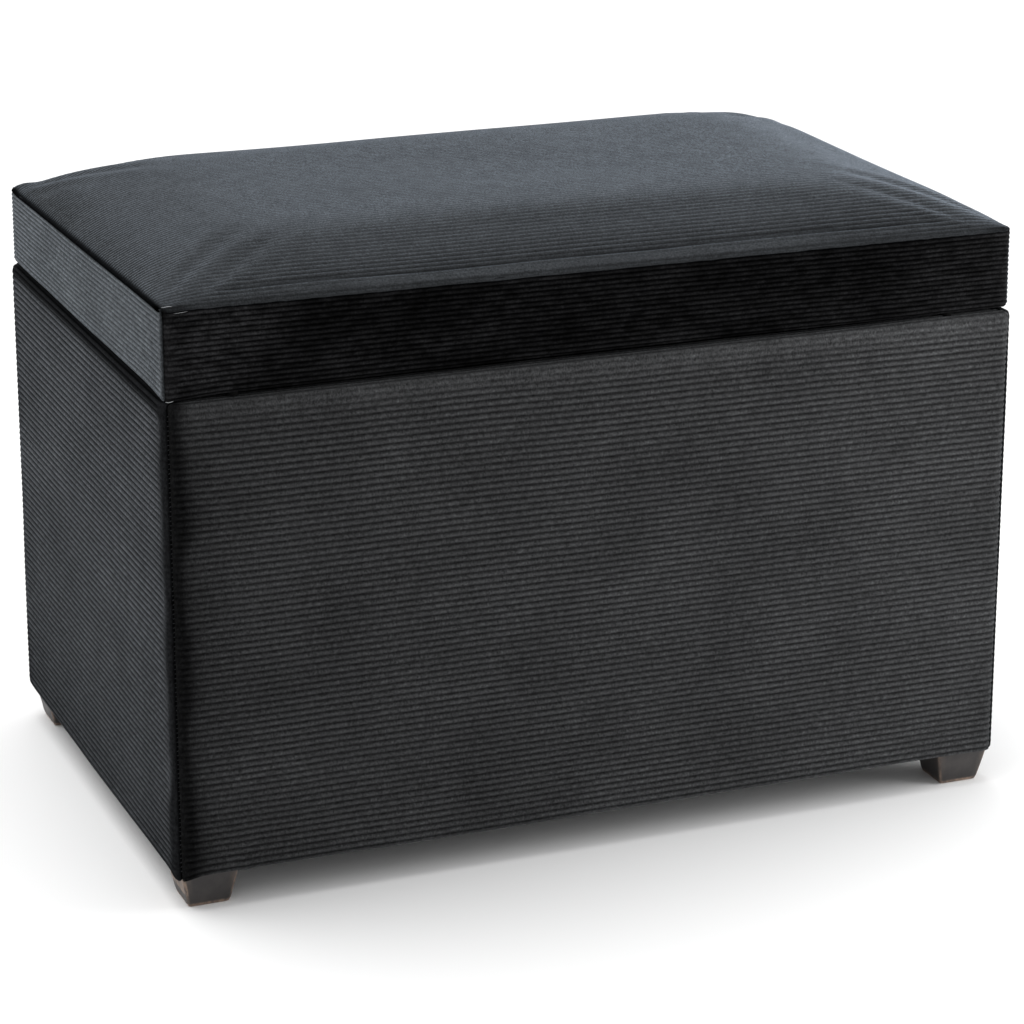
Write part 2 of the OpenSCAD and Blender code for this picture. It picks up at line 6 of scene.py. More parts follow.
import bpy
import numpy as np
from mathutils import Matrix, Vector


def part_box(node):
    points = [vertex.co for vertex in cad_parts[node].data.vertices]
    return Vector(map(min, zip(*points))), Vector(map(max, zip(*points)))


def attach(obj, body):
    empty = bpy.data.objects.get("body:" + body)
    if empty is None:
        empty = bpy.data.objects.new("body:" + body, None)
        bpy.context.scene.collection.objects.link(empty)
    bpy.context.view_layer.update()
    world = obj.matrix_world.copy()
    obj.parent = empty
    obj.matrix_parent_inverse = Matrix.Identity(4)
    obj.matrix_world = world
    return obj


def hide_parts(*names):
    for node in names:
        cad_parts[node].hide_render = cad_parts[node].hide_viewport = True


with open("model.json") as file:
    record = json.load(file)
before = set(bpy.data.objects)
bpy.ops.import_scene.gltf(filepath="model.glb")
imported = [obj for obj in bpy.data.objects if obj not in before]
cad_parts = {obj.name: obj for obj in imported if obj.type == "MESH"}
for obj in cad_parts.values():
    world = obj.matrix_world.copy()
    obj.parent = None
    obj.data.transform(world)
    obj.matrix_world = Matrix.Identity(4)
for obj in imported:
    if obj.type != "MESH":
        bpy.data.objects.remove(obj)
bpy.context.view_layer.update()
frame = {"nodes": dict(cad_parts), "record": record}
MM = 0.001


# ---------- sizes, from the frame ----------


def extent(axis, low_node, high_node):
    """Distance along an axis from one node's lowest point to another's highest."""
    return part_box(high_node)[1][axis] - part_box(low_node)[0][axis]


BOX_W = extent(0, "left_cover", "right_cover")
BOX_D = extent(1, "front_cover", "back_cover")
HEM_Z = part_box("front_cover")[0][2]
RIM_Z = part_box("front_cover")[1][2]
CAV_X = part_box("box_lining")[1][0]
LID_W = extent(0, "left_band", "right_band")
LID_D = extent(1, "front_band", "back_band")
LID_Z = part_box("front_band")[0][2]
BAND_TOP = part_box("front_band")[1][2]
CROWN_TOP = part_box("seat_cover")[1][2]
BOARD_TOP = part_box("lid_board")[1][2]

# ---------- the cloth ----------

RIBS = 74.5                    # ribs up the height of the box's fabric
PITCH = (RIM_Z - HEM_Z) / RIBS
BAND_PITCH = 0.72 * PITCH      # the lid's bands have finer ribs
RIB_H = 1.2 * MM
COVER_T = 3 * MM               # cloth and wadding on the box
BAND_T = 2.5 * MM
BOX_R = 12 * MM                # upright corners of the box
LID_R = 5 * MM
SEAT_R = 8 * MM                # the seat's corners in plan
BOX_HEM = 20 * MM
BAND_HEM = 22 * MM
RIB_PHASES = (0.0, 0.1, 0.21, 0.34, 0.5, 0.66, 0.79, 0.9)
SEAM_Z = BAND_TOP + BAND_T


def bell(x, width, power=2):
    """1 at x = 0, falling off smoothly over a width."""
    return np.exp(-((x / width) ** power))


def lattice_noise(x, y, seed):
    """Smooth noise from -1 to 1 over arrays x and y, with one cell to a unit."""
    n = 64
    lattice = np.random.default_rng(seed).uniform(-1, 1, (n, n))
    x, y = np.broadcast_arrays(np.asarray(x, float), np.asarray(y, float))
    xi, yi = np.floor(x).astype(int), np.floor(y).astype(int)
    fx, fy = x - xi, y - yi
    fx, fy = (f * f * f * (f * (f * 6 - 15) + 10) for f in (fx, fy))
    a = lattice[yi % n, xi % n] * (1 - fx) + lattice[yi % n, (xi + 1) % n] * fx
    b = lattice[(yi + 1) % n, xi % n] * (1 - fx) + lattice[(yi + 1) % n, (xi + 1) % n] * fx
    return a * (1 - fy) + b * fy


def rib_height(s, pitch=PITCH):
    """Height of the ribs, 0 in a groove to 1 on a crest, at a distance s across them."""
    return (0.5 - 0.5 * np.cos(2 * math.pi * s / pitch)) ** 0.75


def rib_rows(length, pitch=PITCH):
    """Distances across the ribs at which a sheet of this length has a row of points."""
    count = int(length / pitch)
    rows = [(k + p) * pitch for k in range(count + 1) for p in RIB_PHASES]
    return np.array([s for s in rows if s < length - 0.2 * MM] + [length])


def new_object(name, verts, faces, smooth=True):
    """An object from a vertex array and a list of face index arrays (each n by 3 or n by 4)."""
    mesh = bpy.data.meshes.new(name)
    loops = np.concatenate([f.ravel() for f in faces]).astype(np.int32)
    totals = np.concatenate([np.full(len(f), f.shape[1]) for f in faces]).astype(np.int32)
    starts = np.concatenate([[0], np.cumsum(totals)[:-1]]).astype(np.int32)
    mesh.vertices.add(len(verts))
    mesh.vertices.foreach_set("co", np.asarray(verts, np.float32).ravel())
    mesh.loops.add(len(loops))
    mesh.loops.foreach_set("vertex_index", loops)
    mesh.polygons.add(len(totals))
    mesh.polygons.foreach_set("loop_start", starts)
    mesh.polygons.foreach_set("use_smooth", np.full(len(totals), smooth))
    mesh.update(calc_edges=True)
    mesh.validate()
    piece = bpy.data.objects.new(name, mesh)
    bpy.context.scene.collection.objects.link(piece)
    return piece


def set_attribute(piece, name, values):
    """Gives a number to each of a piece's first points, and 0 to the others."""
    filled = np.zeros(len(piece.data.vertices), np.float32)
    filled[:len(values)] = values
    piece.data.attributes.new(name, "FLOAT", "POINT").data.foreach_set("value", filled)


def ring_faces(rows, sides):
    """Faces between rings of points, each ring closed on itself."""
    j, i = np.meshgrid(np.arange(rows - 1), np.arange(sides), indexing="ij")
    k = (i + 1) % sides
    corners = [j * sides + i, j * sides + k, (j + 1) * sides + k, (j + 1) * sides + i]
    return np.stack(corners, axis=-1).reshape(-1, 4)


def grid_faces(rows, cols, start=0, flip=False):
    j, i = np.meshgrid(np.arange(rows - 1), np.arange(cols - 1), indexing="ij")
    a = (start + j * cols + i).ravel()
    quads = np.stack([a, a + 1, a + cols + 1, a + cols], axis=1)
    return quads[:, ::-1] if flip else quads


def zipper(a, ta, b, tb, flip):
    """Triangles between two chains of vertices, a at parameters ta and b at tb, both rising."""
    tris, i, j = [], 0, 0
    while i < len(a) - 1 or j < len(b) - 1:
        if j == len(b) - 1 or (i < len(a) - 1 and ta[i + 1] <= tb[j + 1]):
            tris.append((a[i], a[i + 1], b[j]))
            i += 1
        else:
            tris.append((a[i], b[j + 1], b[j]))
            j += 1
    tris = np.array(tris)
    return tris[:, ::-1] if flip else tris


def close_sheet(name, outer, inner, row_s, inner_s, rib, dark=None):
    """A closed sheet: a fine outer grid, a coarse inner grid with the same columns, and their edges."""
    rows, cols = outer.shape[:2]
    inner_rows = inner.shape[0]
    start = rows * cols
    verts = np.concatenate([outer.reshape(-1, 3), inner.reshape(-1, 3)])
    faces = [grid_faces(rows, cols), grid_faces(inner_rows, cols, start, flip=True)]
    for last_outer, last_inner, flip in ((0, 0, True), (rows - 1, inner_rows - 1, False)):
        a = last_outer * cols + np.arange(cols - 1)
        b = start + last_inner * cols + np.arange(cols - 1)
        quads = np.stack([a, a + 1, b + 1, b], axis=1)
        faces.append(quads[:, ::-1] if flip else quads)
    for col, flip in ((0, False), (cols - 1, True)):
        a = np.arange(rows) * cols + col
        b = start + np.arange(inner_rows) * cols + col
        faces.append(zipper(a, row_s, b, inner_s, flip))
    piece = new_object(name, verts, faces)
    set_attribute(piece, "rib", rib.ravel())
    # The dark attribute carries mostly painted shade and painted highlights, with some uneven tone of the
    # cloth
    set_attribute(piece, "dark", np.zeros(start) if dark is None else dark.ravel())
    return piece


# ---------- a side of a box: a profile carried round an outline with mitred corners ----------

# Columns: -1 to 1 runs along the straight part, and on to 2 round half of the corner
CORNER_STEPS = (0.0, 0.25, 0.5, 0.68, 0.8, 0.88, 0.94, 0.975, 1.0)


def run_length(kind, size):
    return size * math.pi / 2 if kind.startswith("turn") else size


def side_columns(straight):
    corner = 1 + np.array(CORNER_STEPS[1:])
    return np.concatenate([-corner[::-1], np.linspace(-1, 1, straight), corner])


def outline(c, inset, run, depth, radius):
    """Points of one side's outline, which faces -Y, at an inset from the outside."""
    r = np.maximum(radius - inset, 0.3 * MM)
    a, b = run / 2 - inset, depth / 2 - inset
    angle = np.maximum(np.abs(c) - 1, 0) * math.pi / 4
    x = np.sign(c) * ((a - r) * np.minimum(np.abs(c), 1) + r * np.sin(angle))
    return x, -(b - r) - r * np.cos(angle)


def from_mitre(c, run, radius):
    """Distance along the outside from the seam at the nearer corner."""
    straight = (run / 2 - radius) * (1 - np.minimum(np.abs(c), 1))
    return straight + radius * math.pi / 4 * (1 - np.maximum(np.abs(c) - 1, 0))


def wrap_profile(s, stations):
    """Inset, height and outward direction at distances s along straight runs joined by quarter turns.

    A profile sets off outwards below, with heading 0, and its turns take it up and then inwards.
    """
    inset, z, nd, nz = (np.zeros_like(s) for _ in range(4))
    (at_d, at_z), begin, heading = stations["start"], 0.0, 0.0
    for kind, size in stations["runs"]:
        length = run_length(kind, size)
        here = (s >= begin) & (s <= begin + length + 1e-9)
        w = np.append(s[here] - begin, length)
        sin, cos = math.sin(heading), math.cos(heading)
        if kind.startswith("turn"):
            a = heading + w / size
            d_run, z_run = at_d + size * (sin - np.sin(a)), at_z + size * (cos - np.cos(a))
            heading += math.pi / 2
        else:
            a = heading + 0 * w
            d_run, z_run = at_d - w * cos, at_z + w * sin
        inset[here], z[here], nd[here], nz[here] = d_run[:-1], z_run[:-1], -np.sin(a[:-1]), -np.cos(a[:-1])
        at_d, at_z = d_run[-1], z_run[-1]
        begin += length
    return inset, z, nd, nz


def profile_length(stations):
    return sum(run_length(kind, size) for kind, size in stations["runs"])


def above_face(stations):
    """Length of a profile beyond its upright face."""
    kinds = [k for k, _ in stations["runs"]]
    return profile_length({"runs": stations["runs"][kinds.index("up") + 1:]})


def turned(points, turn):
    """Turns points drawn for the front about Z: 90 is the right side, 180 the back, 270 the left."""
    a = math.radians(turn)
    x = points[..., 0] * math.cos(a) - points[..., 1] * math.sin(a)
    y = points[..., 0] * math.sin(a) + points[..., 1] * math.cos(a)
    return np.stack([x, y, points[..., 2]], axis=-1)


def side_sheet(name, turn, stations, size, radius, thick, straight, seed, loose, seam_depth, shape, shading,
               pitch):
    """One ribbed side of the box or of the lid. The pile is crushed flat beside its seams, and painted darker
    there as shade as well as for the crushed nap.
    """
    run, depth = size if turn % 180 == 0 else size[::-1]
    c = side_columns(straight)[None, :]
    s = rib_rows(profile_length(stations), pitch)
    inset, z, nd, nz = (v[:, None] for v in wrap_profile(s, stations))
    u = np.sign(c) * (run / 2 - from_mitre(c, run, radius))
    s2 = s[:, None]
    # Ribs wander a little, and the pile is crushed in places
    wander = 0.45 * MM * lattice_noise(u / 0.11, s2 / 0.15, seed)
    wander += 0.15 * MM * lattice_noise(u / 0.023, s2 / 0.04, seed + 1)
    crushed = 1 - 0.22 * (0.5 + 0.5 * lattice_noise(u / 0.05, s2 / 0.03, seed + 2))
    beside = from_mitre(c, run, radius)
    dark, smooth = shading(beside, u, s2, s[-1])
    rib = 1 - (1 - rib_height(s2, pitch) * crushed) * (1 - smooth)
    seam = bell(beside, 1.0 * MM)
    pucker = 1 + 0.3 * lattice_noise(s2 / 0.006, c * 3, seed + 3)
    pucker = pucker * (0.3 + 0.7 * np.clip((s[-1] - above_face(stations) - s2) / (8 * MM), 0, 1))
    below = min(RIB_H, 0.27 * pitch) * (1 - rib) * (1 - seam) + seam * seam_depth * np.minimum(1.1, pucker)
    below = below - loose * np.maximum(0, lattice_noise(u / 0.14, s2 / 0.09, seed + 4)) * (1 - seam)
    below = np.minimum(below, thick - 0.35 * MM)
    z_wander = z + wander * np.abs(nd)
    x, y = outline(c, inset - below * nd, run, depth, radius)
    outer = np.stack([x, y, z_wander - below * nz + 0 * x], axis=-1)
    s_in = np.concatenate([np.arange(0, s[-1], 6 * MM)[:-1], [s[-1]]])
    s_in = np.unique(np.concatenate([s_in, turn_samples(stations)]))
    inset, z, nd, nz = (v[:, None] for v in wrap_profile(s_in, stations))
    back = thick - 0.15 * MM
    x, y = outline(c, inset - back * nd, run, depth, radius if radius > 2 * thick else 0)
    inner = np.stack([x, y, z - back * nz + 0 * x], axis=-1)
    rib = rib * (1 - seam)
    outer, inner = (shape(turned(points, turn)) for points in (outer, inner))
    return close_sheet(name, outer, inner, s, s_in, rib, dark + 0 * rib)


def box_shading(beside, u, s, length, side):
    """How much darker, from painted shade and light, and how much smoother a cover of the box is near its
    corners, rim and hem.
    """
    across = side in ("front", "back")
    below_rim = length - BOX_TOP_RUN - s
    uneven = 1 + 0.35 * lattice_noise(s / 0.03, beside * 0, len(side))
    plain = np.where(u > 0, 0.3, 1.0) if side == "front" else 1.0
    # Painted shade round the upright corners, where the cloth turns away from the light, on top of darker
    # crushed nap; less on the front's right half
    dark = 0.8 * plain * bell(beside, (13 if across else 10) * MM * uneven)
    # Wider painted shade, fading out from the corners
    wide = 0.30 * plain * np.exp(-beside / (32 * MM)) * (0.6 + 0.4 * lattice_noise(s / 0.06, u / 0.02, 71))
    smooth = 0.85 * plain * bell(beside, (5 if across else 10) * MM)
    if across:
        smooth = smooth + 0.4 * bell(below_rim, 9 * MM)
        # Painted light: the front and back get lighter towards the bench's right end
        wide = wide - 0.17 * u / (BOX_W / 2) * (1 if side == "front" else -1)
    else:
        # Painted shadow under the lid's edge, along the top of the end covers
        dark = dark + 0.85 * bell(np.maximum(0, below_rim), 4.5 * MM)
        # Painted shade, darker towards the hem
        wide = wide + 0.45 * np.exp(-np.maximum(0, s - BOX_HEM) / (55 * MM))
    return np.clip(dark + wide, -0.5, 0.85), np.minimum(0.85, smooth)


def band_shading(beside, u, s, length, side):
    """The same for a band of the lid, with painted shade along its corner seams and close under the seat's
    edge.
    """
    dark = 0.6 * bell(beside, 2.2 * MM)
    dark = dark + 0.9 * bell(length - s, 3 * MM)
    if side in ("front", "back"):
        # The front and back bands are lighter towards their ends, most towards one end, and uneven at random
        lighter_ends = bell(u + LID_W / 2, 75 * MM) + 0.3 * bell(u - LID_W / 2, 90 * MM)
        dark = dark - 1.6 * lighter_ends - 0.35 * lattice_noise(u / 0.05, s / 0.02, 72)
    if side == "left":
        dark = dark - 0.14 * np.clip(0.5 - u / LID_D, 0, 1)
    return np.clip(dark, -1.8, 0.85), 0.35 * bell(beside, 6 * MM)


# How far the box's hem hangs below its place at each corner, and the lid's seam stands above it
HEM_DROOP = {("front", "left"): 4.4 * MM, ("front", "right"): 0.8 * MM,
             ("back", "left"): -2.5 * MM, ("back", "right"): 0.5 * MM}
SEAM_LIFT = {("front", "left"): 5.2 * MM, ("front", "right"): 2.0 * MM,
             ("back", "left"): -0.6 * MM, ("back", "right"): 1.5 * MM}
CORNER_HANG = 2.4 * MM         # how far the front left corner of the lid's bands hangs


def seam_lift(x, y):
    """How far the lid's seam stands above its level at a place on the lid's border."""
    right = np.clip(x / LID_W + 0.5, 0, 1)
    back = np.clip(y / LID_D + 0.5, 0, 1)
    front_edge, back_edge = (SEAM_LIFT[end, "left"] * (1 - right) + SEAM_LIFT[end, "right"] * right
                             for end in ("front", "back"))
    return front_edge * (1 - back) + back_edge * back


def hem_droop(points):
    """Lets the box's hem hang or draw up at its corners."""
    x, y, z = points[..., 0], points[..., 1], points[..., 2]
    low = np.clip(1 - (z - HEM_Z) / (30 * MM), 0, 1) ** 2
    for (end, side), amount in HEM_DROOP.items():
        cx = BOX_W / 2 * (-1 if side == "left" else 1)
        cy = BOX_D / 2 * (-1 if end == "front" else 1)
        away = np.hypot(x - cx, y - cy)
        points[..., 2] -= amount * low * bell(away, 12 * MM)
    # A fold of the hem stands out beside the front left foot
    beside_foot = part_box("front_left_foot")[1][0] + 4 * MM
    fold = bell(x - beside_foot, 3 * MM) * (y < -BOX_D / 2 + BOX_R)
    points[..., 2] -= 1.3 * MM * low * fold
    return points


def band_lift(points):
    """Raises a lid band's upper edge to the seam, and lets its front left corner hang."""
    share = np.clip((points[..., 2] - LID_Z) / (SEAM_Z - LID_Z), 0, 1)
    points[..., 2] += share * seam_lift(points[..., 0], points[..., 1])
    away = np.hypot(points[..., 0] + LID_W / 2, points[..., 1] + LID_D / 2)
    points[..., 2] -= CORNER_HANG * (1 - share) ** 2 * bell(away, 26 * MM)
    return points


def turn_samples(stations):
    """Distances along a profile at which its quarter turns need points."""
    found, begin = [], 0.0
    for kind, size in stations["runs"]:
        length = run_length(kind, size)
        if kind.startswith("turn"):
            found += [begin + length * f for f in (0, 0.25, 0.5, 0.75, 1)]
        begin += length
    return found


box_edge = 3.2 * MM
rim_edge = 4 * MM
BOX_TOP_RUN = BOX_W / 2 - CAV_X - rim_edge + rim_edge * math.pi / 2
BOX_STATIONS = {
    "start": (BOX_HEM, HEM_Z),
    "runs": [
        ("out", BOX_HEM - box_edge),
        ("turn_up", box_edge),
        ("up", RIM_Z - HEM_Z - box_edge - rim_edge),
        ("turn_in", rim_edge),
        ("in", BOX_W / 2 - CAV_X - rim_edge),
    ],
}
lid_edge = 2.8 * MM
band_edge = 2 * MM
BAND_STATIONS = {
    "start": (BAND_HEM, LID_Z),
    "runs": [
        ("out", BAND_HEM - lid_edge),
        ("turn_up", lid_edge),
        ("up", SEAM_Z - 0.6 * MM - LID_Z - lid_edge - band_edge),
        ("turn_in", band_edge),
    ],
}


# ---------- the seat ----------

GRID_X, GRID_Y = 76, 50
NX, NY = 10, 7                 # how square the crown is along X and along Y
SIM_FRAMES = 20
SIM_CAP = 4 * MM               # how far the simulation may move a point
SIM_SETTINGS = {
    "quality": 6, "mass": 0.35, "tension_stiffness": 25, "compression_stiffness": 25, "shear_stiffness": 8,
    "bending_stiffness": 1.5, "vertex_group_mass": "pins", "use_pressure": True, "uniform_pressure_force": 4,
}


def crown(x, y):
    fx = 1 - np.minimum(1, np.abs(2 * x / LID_W)) ** NX
    fy = 1 - np.minimum(1, np.abs(2 * y / LID_D)) ** NY
    return fx * fy


def edge_spread(count):
    """Places from -1 to 1, closer together near the ends."""
    a = np.linspace(-1, 1, count)
    return 0.35 * a + 0.65 * np.sin(a * math.pi / 2)


def simulate_seat():
    """The seat's surface as a grid of points: a stuffed cushion, pinned at its seam and blown up a little."""
    xs, ys = edge_spread(GRID_X) * LID_W / 2, edge_spread(GRID_Y) * LID_D / 2
    x, y = np.meshgrid(xs, ys)
    full = CROWN_TOP - SEAM_Z
    rest = np.stack([x, y, SEAM_Z + (full - 0.8 * SIM_CAP) * crown(x, y)], axis=-1)
    low = rest.copy()
    low[..., 2] = SEAM_Z - 12 * MM
    count = GRID_X * GRID_Y
    verts = np.concatenate([rest.reshape(-1, 3), low.reshape(-1, 3)])
    faces = [grid_faces(GRID_Y, GRID_X), grid_faces(GRID_Y, GRID_X, count, flip=True)]
    edge = np.concatenate([
        np.arange(GRID_X),
        np.arange(1, GRID_Y) * GRID_X + GRID_X - 1,
        (GRID_Y - 1) * GRID_X + np.arange(GRID_X - 2, -1, -1),
        np.arange(GRID_Y - 2, 0, -1) * GRID_X,
    ])
    after = np.roll(edge, -1)
    faces.append(np.stack([after, edge, edge + count, after + count], axis=1))
    cushion = new_object("seat_simulation", verts, faces)
    pins = cushion.vertex_groups.new(name="pins")
    pins.add([int(v) for v in np.concatenate([edge, np.arange(count, 2 * count)])], 1.0, "REPLACE")
    cloth = cushion.modifiers.new("cloth", "CLOTH")
    for setting, value in SIM_SETTINGS.items():
        setattr(cloth.settings, setting, value)
    cloth.settings.effector_weights.gravity = 0
    cloth.point_cache.frame_start, cloth.point_cache.frame_end = 1, SIM_FRAMES
    for step in range(1, SIM_FRAMES + 1):
        bpy.context.scene.frame_set(step)
    shown = cushion.evaluated_get(bpy.context.evaluated_depsgraph_get())
    moved = np.empty(len(verts) * 3, np.float32)
    shown.data.vertices.foreach_get("co", moved)
    moved = moved.reshape(-1, 3)[:count].reshape(GRID_Y, GRID_X, 3).astype(float)
    bpy.data.objects.remove(cushion)
    bpy.context.scene.frame_set(1)
    step = moved - rest
    far = np.linalg.norm(step, axis=-1, keepdims=True)
    step *= SIM_CAP * np.tanh(far / SIM_CAP) / np.maximum(far, 1e-9)
    return rest + step


def cubic_weights(at, count):
    """Rows of Catmull-Rom weights that read a grid of count points at places from 0 to count - 1."""
    k = np.clip(np.floor(at).astype(int), 0, count - 2)
    f = at - k
    weights = np.zeros((len(at), count))
    parts = (
        -0.5 * f**3 + f**2 - 0.5 * f,
        1.5 * f**3 - 2.5 * f**2 + 1,
        -1.5 * f**3 + 2 * f**2 + 0.5 * f,
        0.5 * f**3 - 0.5 * f**2,
    )
    for offset, part in zip((-1, 0, 1, 2), parts):
        np.add.at(weights, (np.arange(len(at)), np.clip(k + offset, 0, count - 1)), part)
    return weights


def settle(points):
    """Rounds the corners of the seat's plan and sets its border on the lid's uneven seam."""
    hx, hy, radius = LID_W / 2, LID_D / 2, SEAT_R
    x, y = np.abs(points[..., 0]), np.abs(points[..., 1])
    p = np.maximum(0, (x - (hx - radius)) / radius)
    q = np.maximum(0, (y - (hy - radius)) / radius)
    x = np.where(p > 0, hx - radius + radius * p * np.sqrt(1 - np.minimum(q, 1) ** 2 / 2), x)
    y = np.where(q > 0, hy - radius + radius * q * np.sqrt(1 - np.minimum(p, 1) ** 2 / 2), y)
    x, y = np.sign(points[..., 0]) * x, np.sign(points[..., 1]) * y
    edge = np.minimum(hx - np.abs(x), hy - np.abs(y))
    z = points[..., 2] + seam_lift(x, y) * np.exp(-edge / (35 * MM))
    # The back left corner is stuffed full
    z = z + 2.2 * MM * bell(np.hypot(x + hx - SEAT_R, y - hy + SEAT_R), 9 * MM)
    return np.stack([x, y, z], axis=-1)


def read_seat(grid, columns, dense):
    """The seat's surface at column places from -1 to 1, with dense samples along Y."""
    cx = (columns + 1) / 2 * (GRID_X - 1)
    cy = np.linspace(0, GRID_Y - 1, dense)
    wx, wy = cubic_weights(cx, GRID_X), cubic_weights(cy, GRID_Y)
    return np.stack([wy @ grid[..., k] @ wx.T for k in range(3)], axis=-1)


def along(dense, rows):
    """Points of each column of a dense surface at shares rows of that column's length."""
    step = np.linalg.norm(np.diff(dense, axis=0), axis=-1)
    length = np.concatenate([np.zeros((1, dense.shape[1])), np.cumsum(step, axis=0)])
    out = np.empty((len(rows), dense.shape[1], 3))
    for i in range(dense.shape[1]):
        for k in range(3):
            out[:, i, k] = np.interp(rows * length[-1, i], length[:, i], dense[:, i, k])
    return out, length[-1]


def surface_normals(points):
    du = np.gradient(points, axis=1)
    dv = np.gradient(points, axis=0)
    n = np.cross(du, dv)
    return n / np.maximum(np.linalg.norm(n, axis=-1, keepdims=True), 1e-12)


# The cover's edge: how far each last row lies out from the seam, and below it
TUCK = ((0.7 * MM, 0.5 * MM), (0.9 * MM, 1.3 * MM), (0.3 * MM, 2.2 * MM), (-1.6 * MM, 2.6 * MM))


def seat_cover(grid):
    columns = edge_spread(112)
    dense = read_seat(grid, columns, 1300)
    _, lengths = along(dense, np.array([0.0, 1.0]))
    length = lengths[len(lengths) // 2]
    s = rib_rows(length)
    base, _ = along(dense, s / length)
    base = settle(base)
    normal = surface_normals(base)
    x, y = base[..., 0], base[..., 1]
    s2 = s[:, None]
    wander = 0.10 * lattice_noise(x / 0.09, s2 / 0.12, 41) + 0.05 * lattice_noise(x / 0.025, s2 / 0.03, 42)
    rib = rib_height(s2 + 0 * x) * (1 - 0.2 * (0.5 + 0.5 * lattice_noise(x / 0.05, y / 0.03, 43)))
    edge_x, edge_y = LID_W / 2 - np.abs(x), LID_D / 2 - np.abs(y)
    edge = np.minimum(edge_x, edge_y)
    fade = (1 - bell(edge, 1.6 * MM)) * (1 - bell(edge_x, 2.6 * MM))
    # Sitting has pressed the ribs flat on top, and the pull of the seam flattens them at the border
    steep = 1 - np.clip((normal[..., 2] - 0.80) / 0.19, 0, 1)
    apart = 1 - bell(edge_x, 90 * MM)
    pressed = 0.92 * (1 - steep) + 0.5 * apart * bell(edge_y, 11 * MM, 4)
    # Down the short slopes the pile parts over every groove
    parted = steep * bell(edge_x, 70 * MM)
    rib = (1 - (1 - rib ** (1 + 0.9 * parted)) * (1 - np.minimum(0.92, pressed))) * fade
    # The seam allowance under the cloth leaves a step beside the long seams, with painted shade along it
    allowance = 12.5 * MM * (1 + 0.15 * lattice_noise(x / 0.04, y / 0.04, 46))
    held = 1 - bell(edge_x, 55 * MM)
    step = 0.6 * MM * held * bell(edge_y - allowance, 1.8 * MM)
    dark = 0.35 * held * bell(edge_y - allowance, 1.5 * MM)
    # The cloth is lighter down the short slopes, and the lip along the long seams gets a painted highlight
    dark = dark - 0.9 * parted - 0.1 * held * bell(edge_y, 4.5 * MM)
    dark = dark + 0.45 * (1 - apart) * bell(edge_y, 15 * MM)
    # Painted shade in the crease of the short seams
    dark = dark + 0.6 * bell(edge_x, 2.0 * MM)
    swell = 0.7 * MM * lattice_noise(x / 0.12, y / 0.08, 44) * np.minimum(1, edge / 0.03)
    ripple = 0.45 * MM * lattice_noise((x + y) / 0.0055, (x - y) / 0.0055, 45) * np.exp(-edge / (3.5 * MM))
    ripple = ripple * np.clip((edge_x - edge_y) / (4 * MM), 0.2, 1)
    below = RIB_H * (1 - rib) + step - swell - ripple
    top = base - normal * below[..., None]
    top[..., 1] += wander * PITCH * fade * 0.3
    # The lip along the long seams is smooth, but its pile is nearly as light as a rib's crest
    pile = np.maximum(rib, 0.68 * bell(edge_y, 2.5 * MM) * (edge_y < edge_x))
    outer, pile, dark, rows_s = add_tuck(top, pile, dark, s)
    under = settle(read_seat(grid, columns, 60))
    under = under - surface_normals(under) * (BAND_T - 0.1 * MM)
    hold = np.minimum(LID_W / 2 - np.abs(under[..., 0]), LID_D / 2 - np.abs(under[..., 1]))
    under[..., 2] = np.where(hold < 4 * MM, np.minimum(under[..., 2], SEAM_Z - 2.0 * MM), under[..., 2])
    under[..., :2] *= 1 - 3.0 * MM / np.array([LID_W / 2, LID_D / 2])
    ends = (side.repeat(len(TUCK), axis=1) for side in (under[:, :1], under[:, -1:]))
    under = np.concatenate([next(ends), under, next(ends)], axis=1)
    inner_s = np.linspace(rows_s[0], rows_s[-1], 60)
    return close_sheet("seat_cover_cloth", outer, under, rows_s, inner_s, pile, dark)


def add_tuck(top, rib, dark, s):
    """Carries the cover's border over its seam and in under it, with painted shade under the lip and on the
    tucks at the short ends.
    """
    count = len(TUCK)
    rows, cols = top.shape[:2]
    all_j, all_i = np.arange(-count, rows + count), np.arange(-count, cols + count)
    j, i = np.clip(all_j, 0, rows - 1), np.clip(all_i, 0, cols - 1)
    out = top[j][:, i]
    over_j, over_i = np.abs(all_j - j), np.abs(all_i - i)
    tuck = np.array([(0.0, 0.0)] + list(TUCK))
    flat_part = np.array([LID_W, LID_D]) / 2 - SEAT_R
    outward = np.maximum(0, np.abs(out[..., :2]) - flat_part) * np.sign(out[..., :2])
    outward /= np.maximum(np.linalg.norm(outward, axis=-1, keepdims=True), 1e-9)
    over = np.maximum(over_i[None, :], over_j[:, None])
    out[..., :2] += outward * tuck[over, 0][..., None]
    out[..., 2] -= tuck[over, 1]
    under_lip = over >= 3
    new_rib = rib[j][:, i] * ~under_lip * (over_i == 0)[None, :]
    # Painted shadow under the lip; painted shade on the tucks round the short ends
    new_dark = np.where(under_lip, 0.95, dark[j][:, i])
    new_dark = np.where((over_i > 0)[None, :], np.maximum(0.6, new_dark), new_dark)
    step = 0.6 * MM
    beyond = step * np.arange(1, count + 1)
    rows_s = np.concatenate([s[0] - beyond[::-1], s, s[-1] + beyond])
    return out, new_rib, new_dark, rows_s


def seat_foam(grid):
    """The foam under the cover: its own closed, crowned form on the lid's board."""
    top = settle(read_seat(grid, edge_spread(80), 60))
    top = top - surface_normals(top) * (BAND_T + 0.9 * MM)
    top[..., :2] *= 1 - (BAND_T + 1.2 * MM) * 2 / np.array([LID_W, LID_D])
    top[..., 2] -= 0.4 * MM
    low = top.copy()
    low[..., 2] = BOARD_TOP + 0.1 * MM
    rows, cols = top.shape[:2]
    s = np.arange(rows, dtype=float)
    return close_sheet("seat_foam_pad", top, low, s, s, np.zeros((rows, cols)))


# ---------- materials ----------

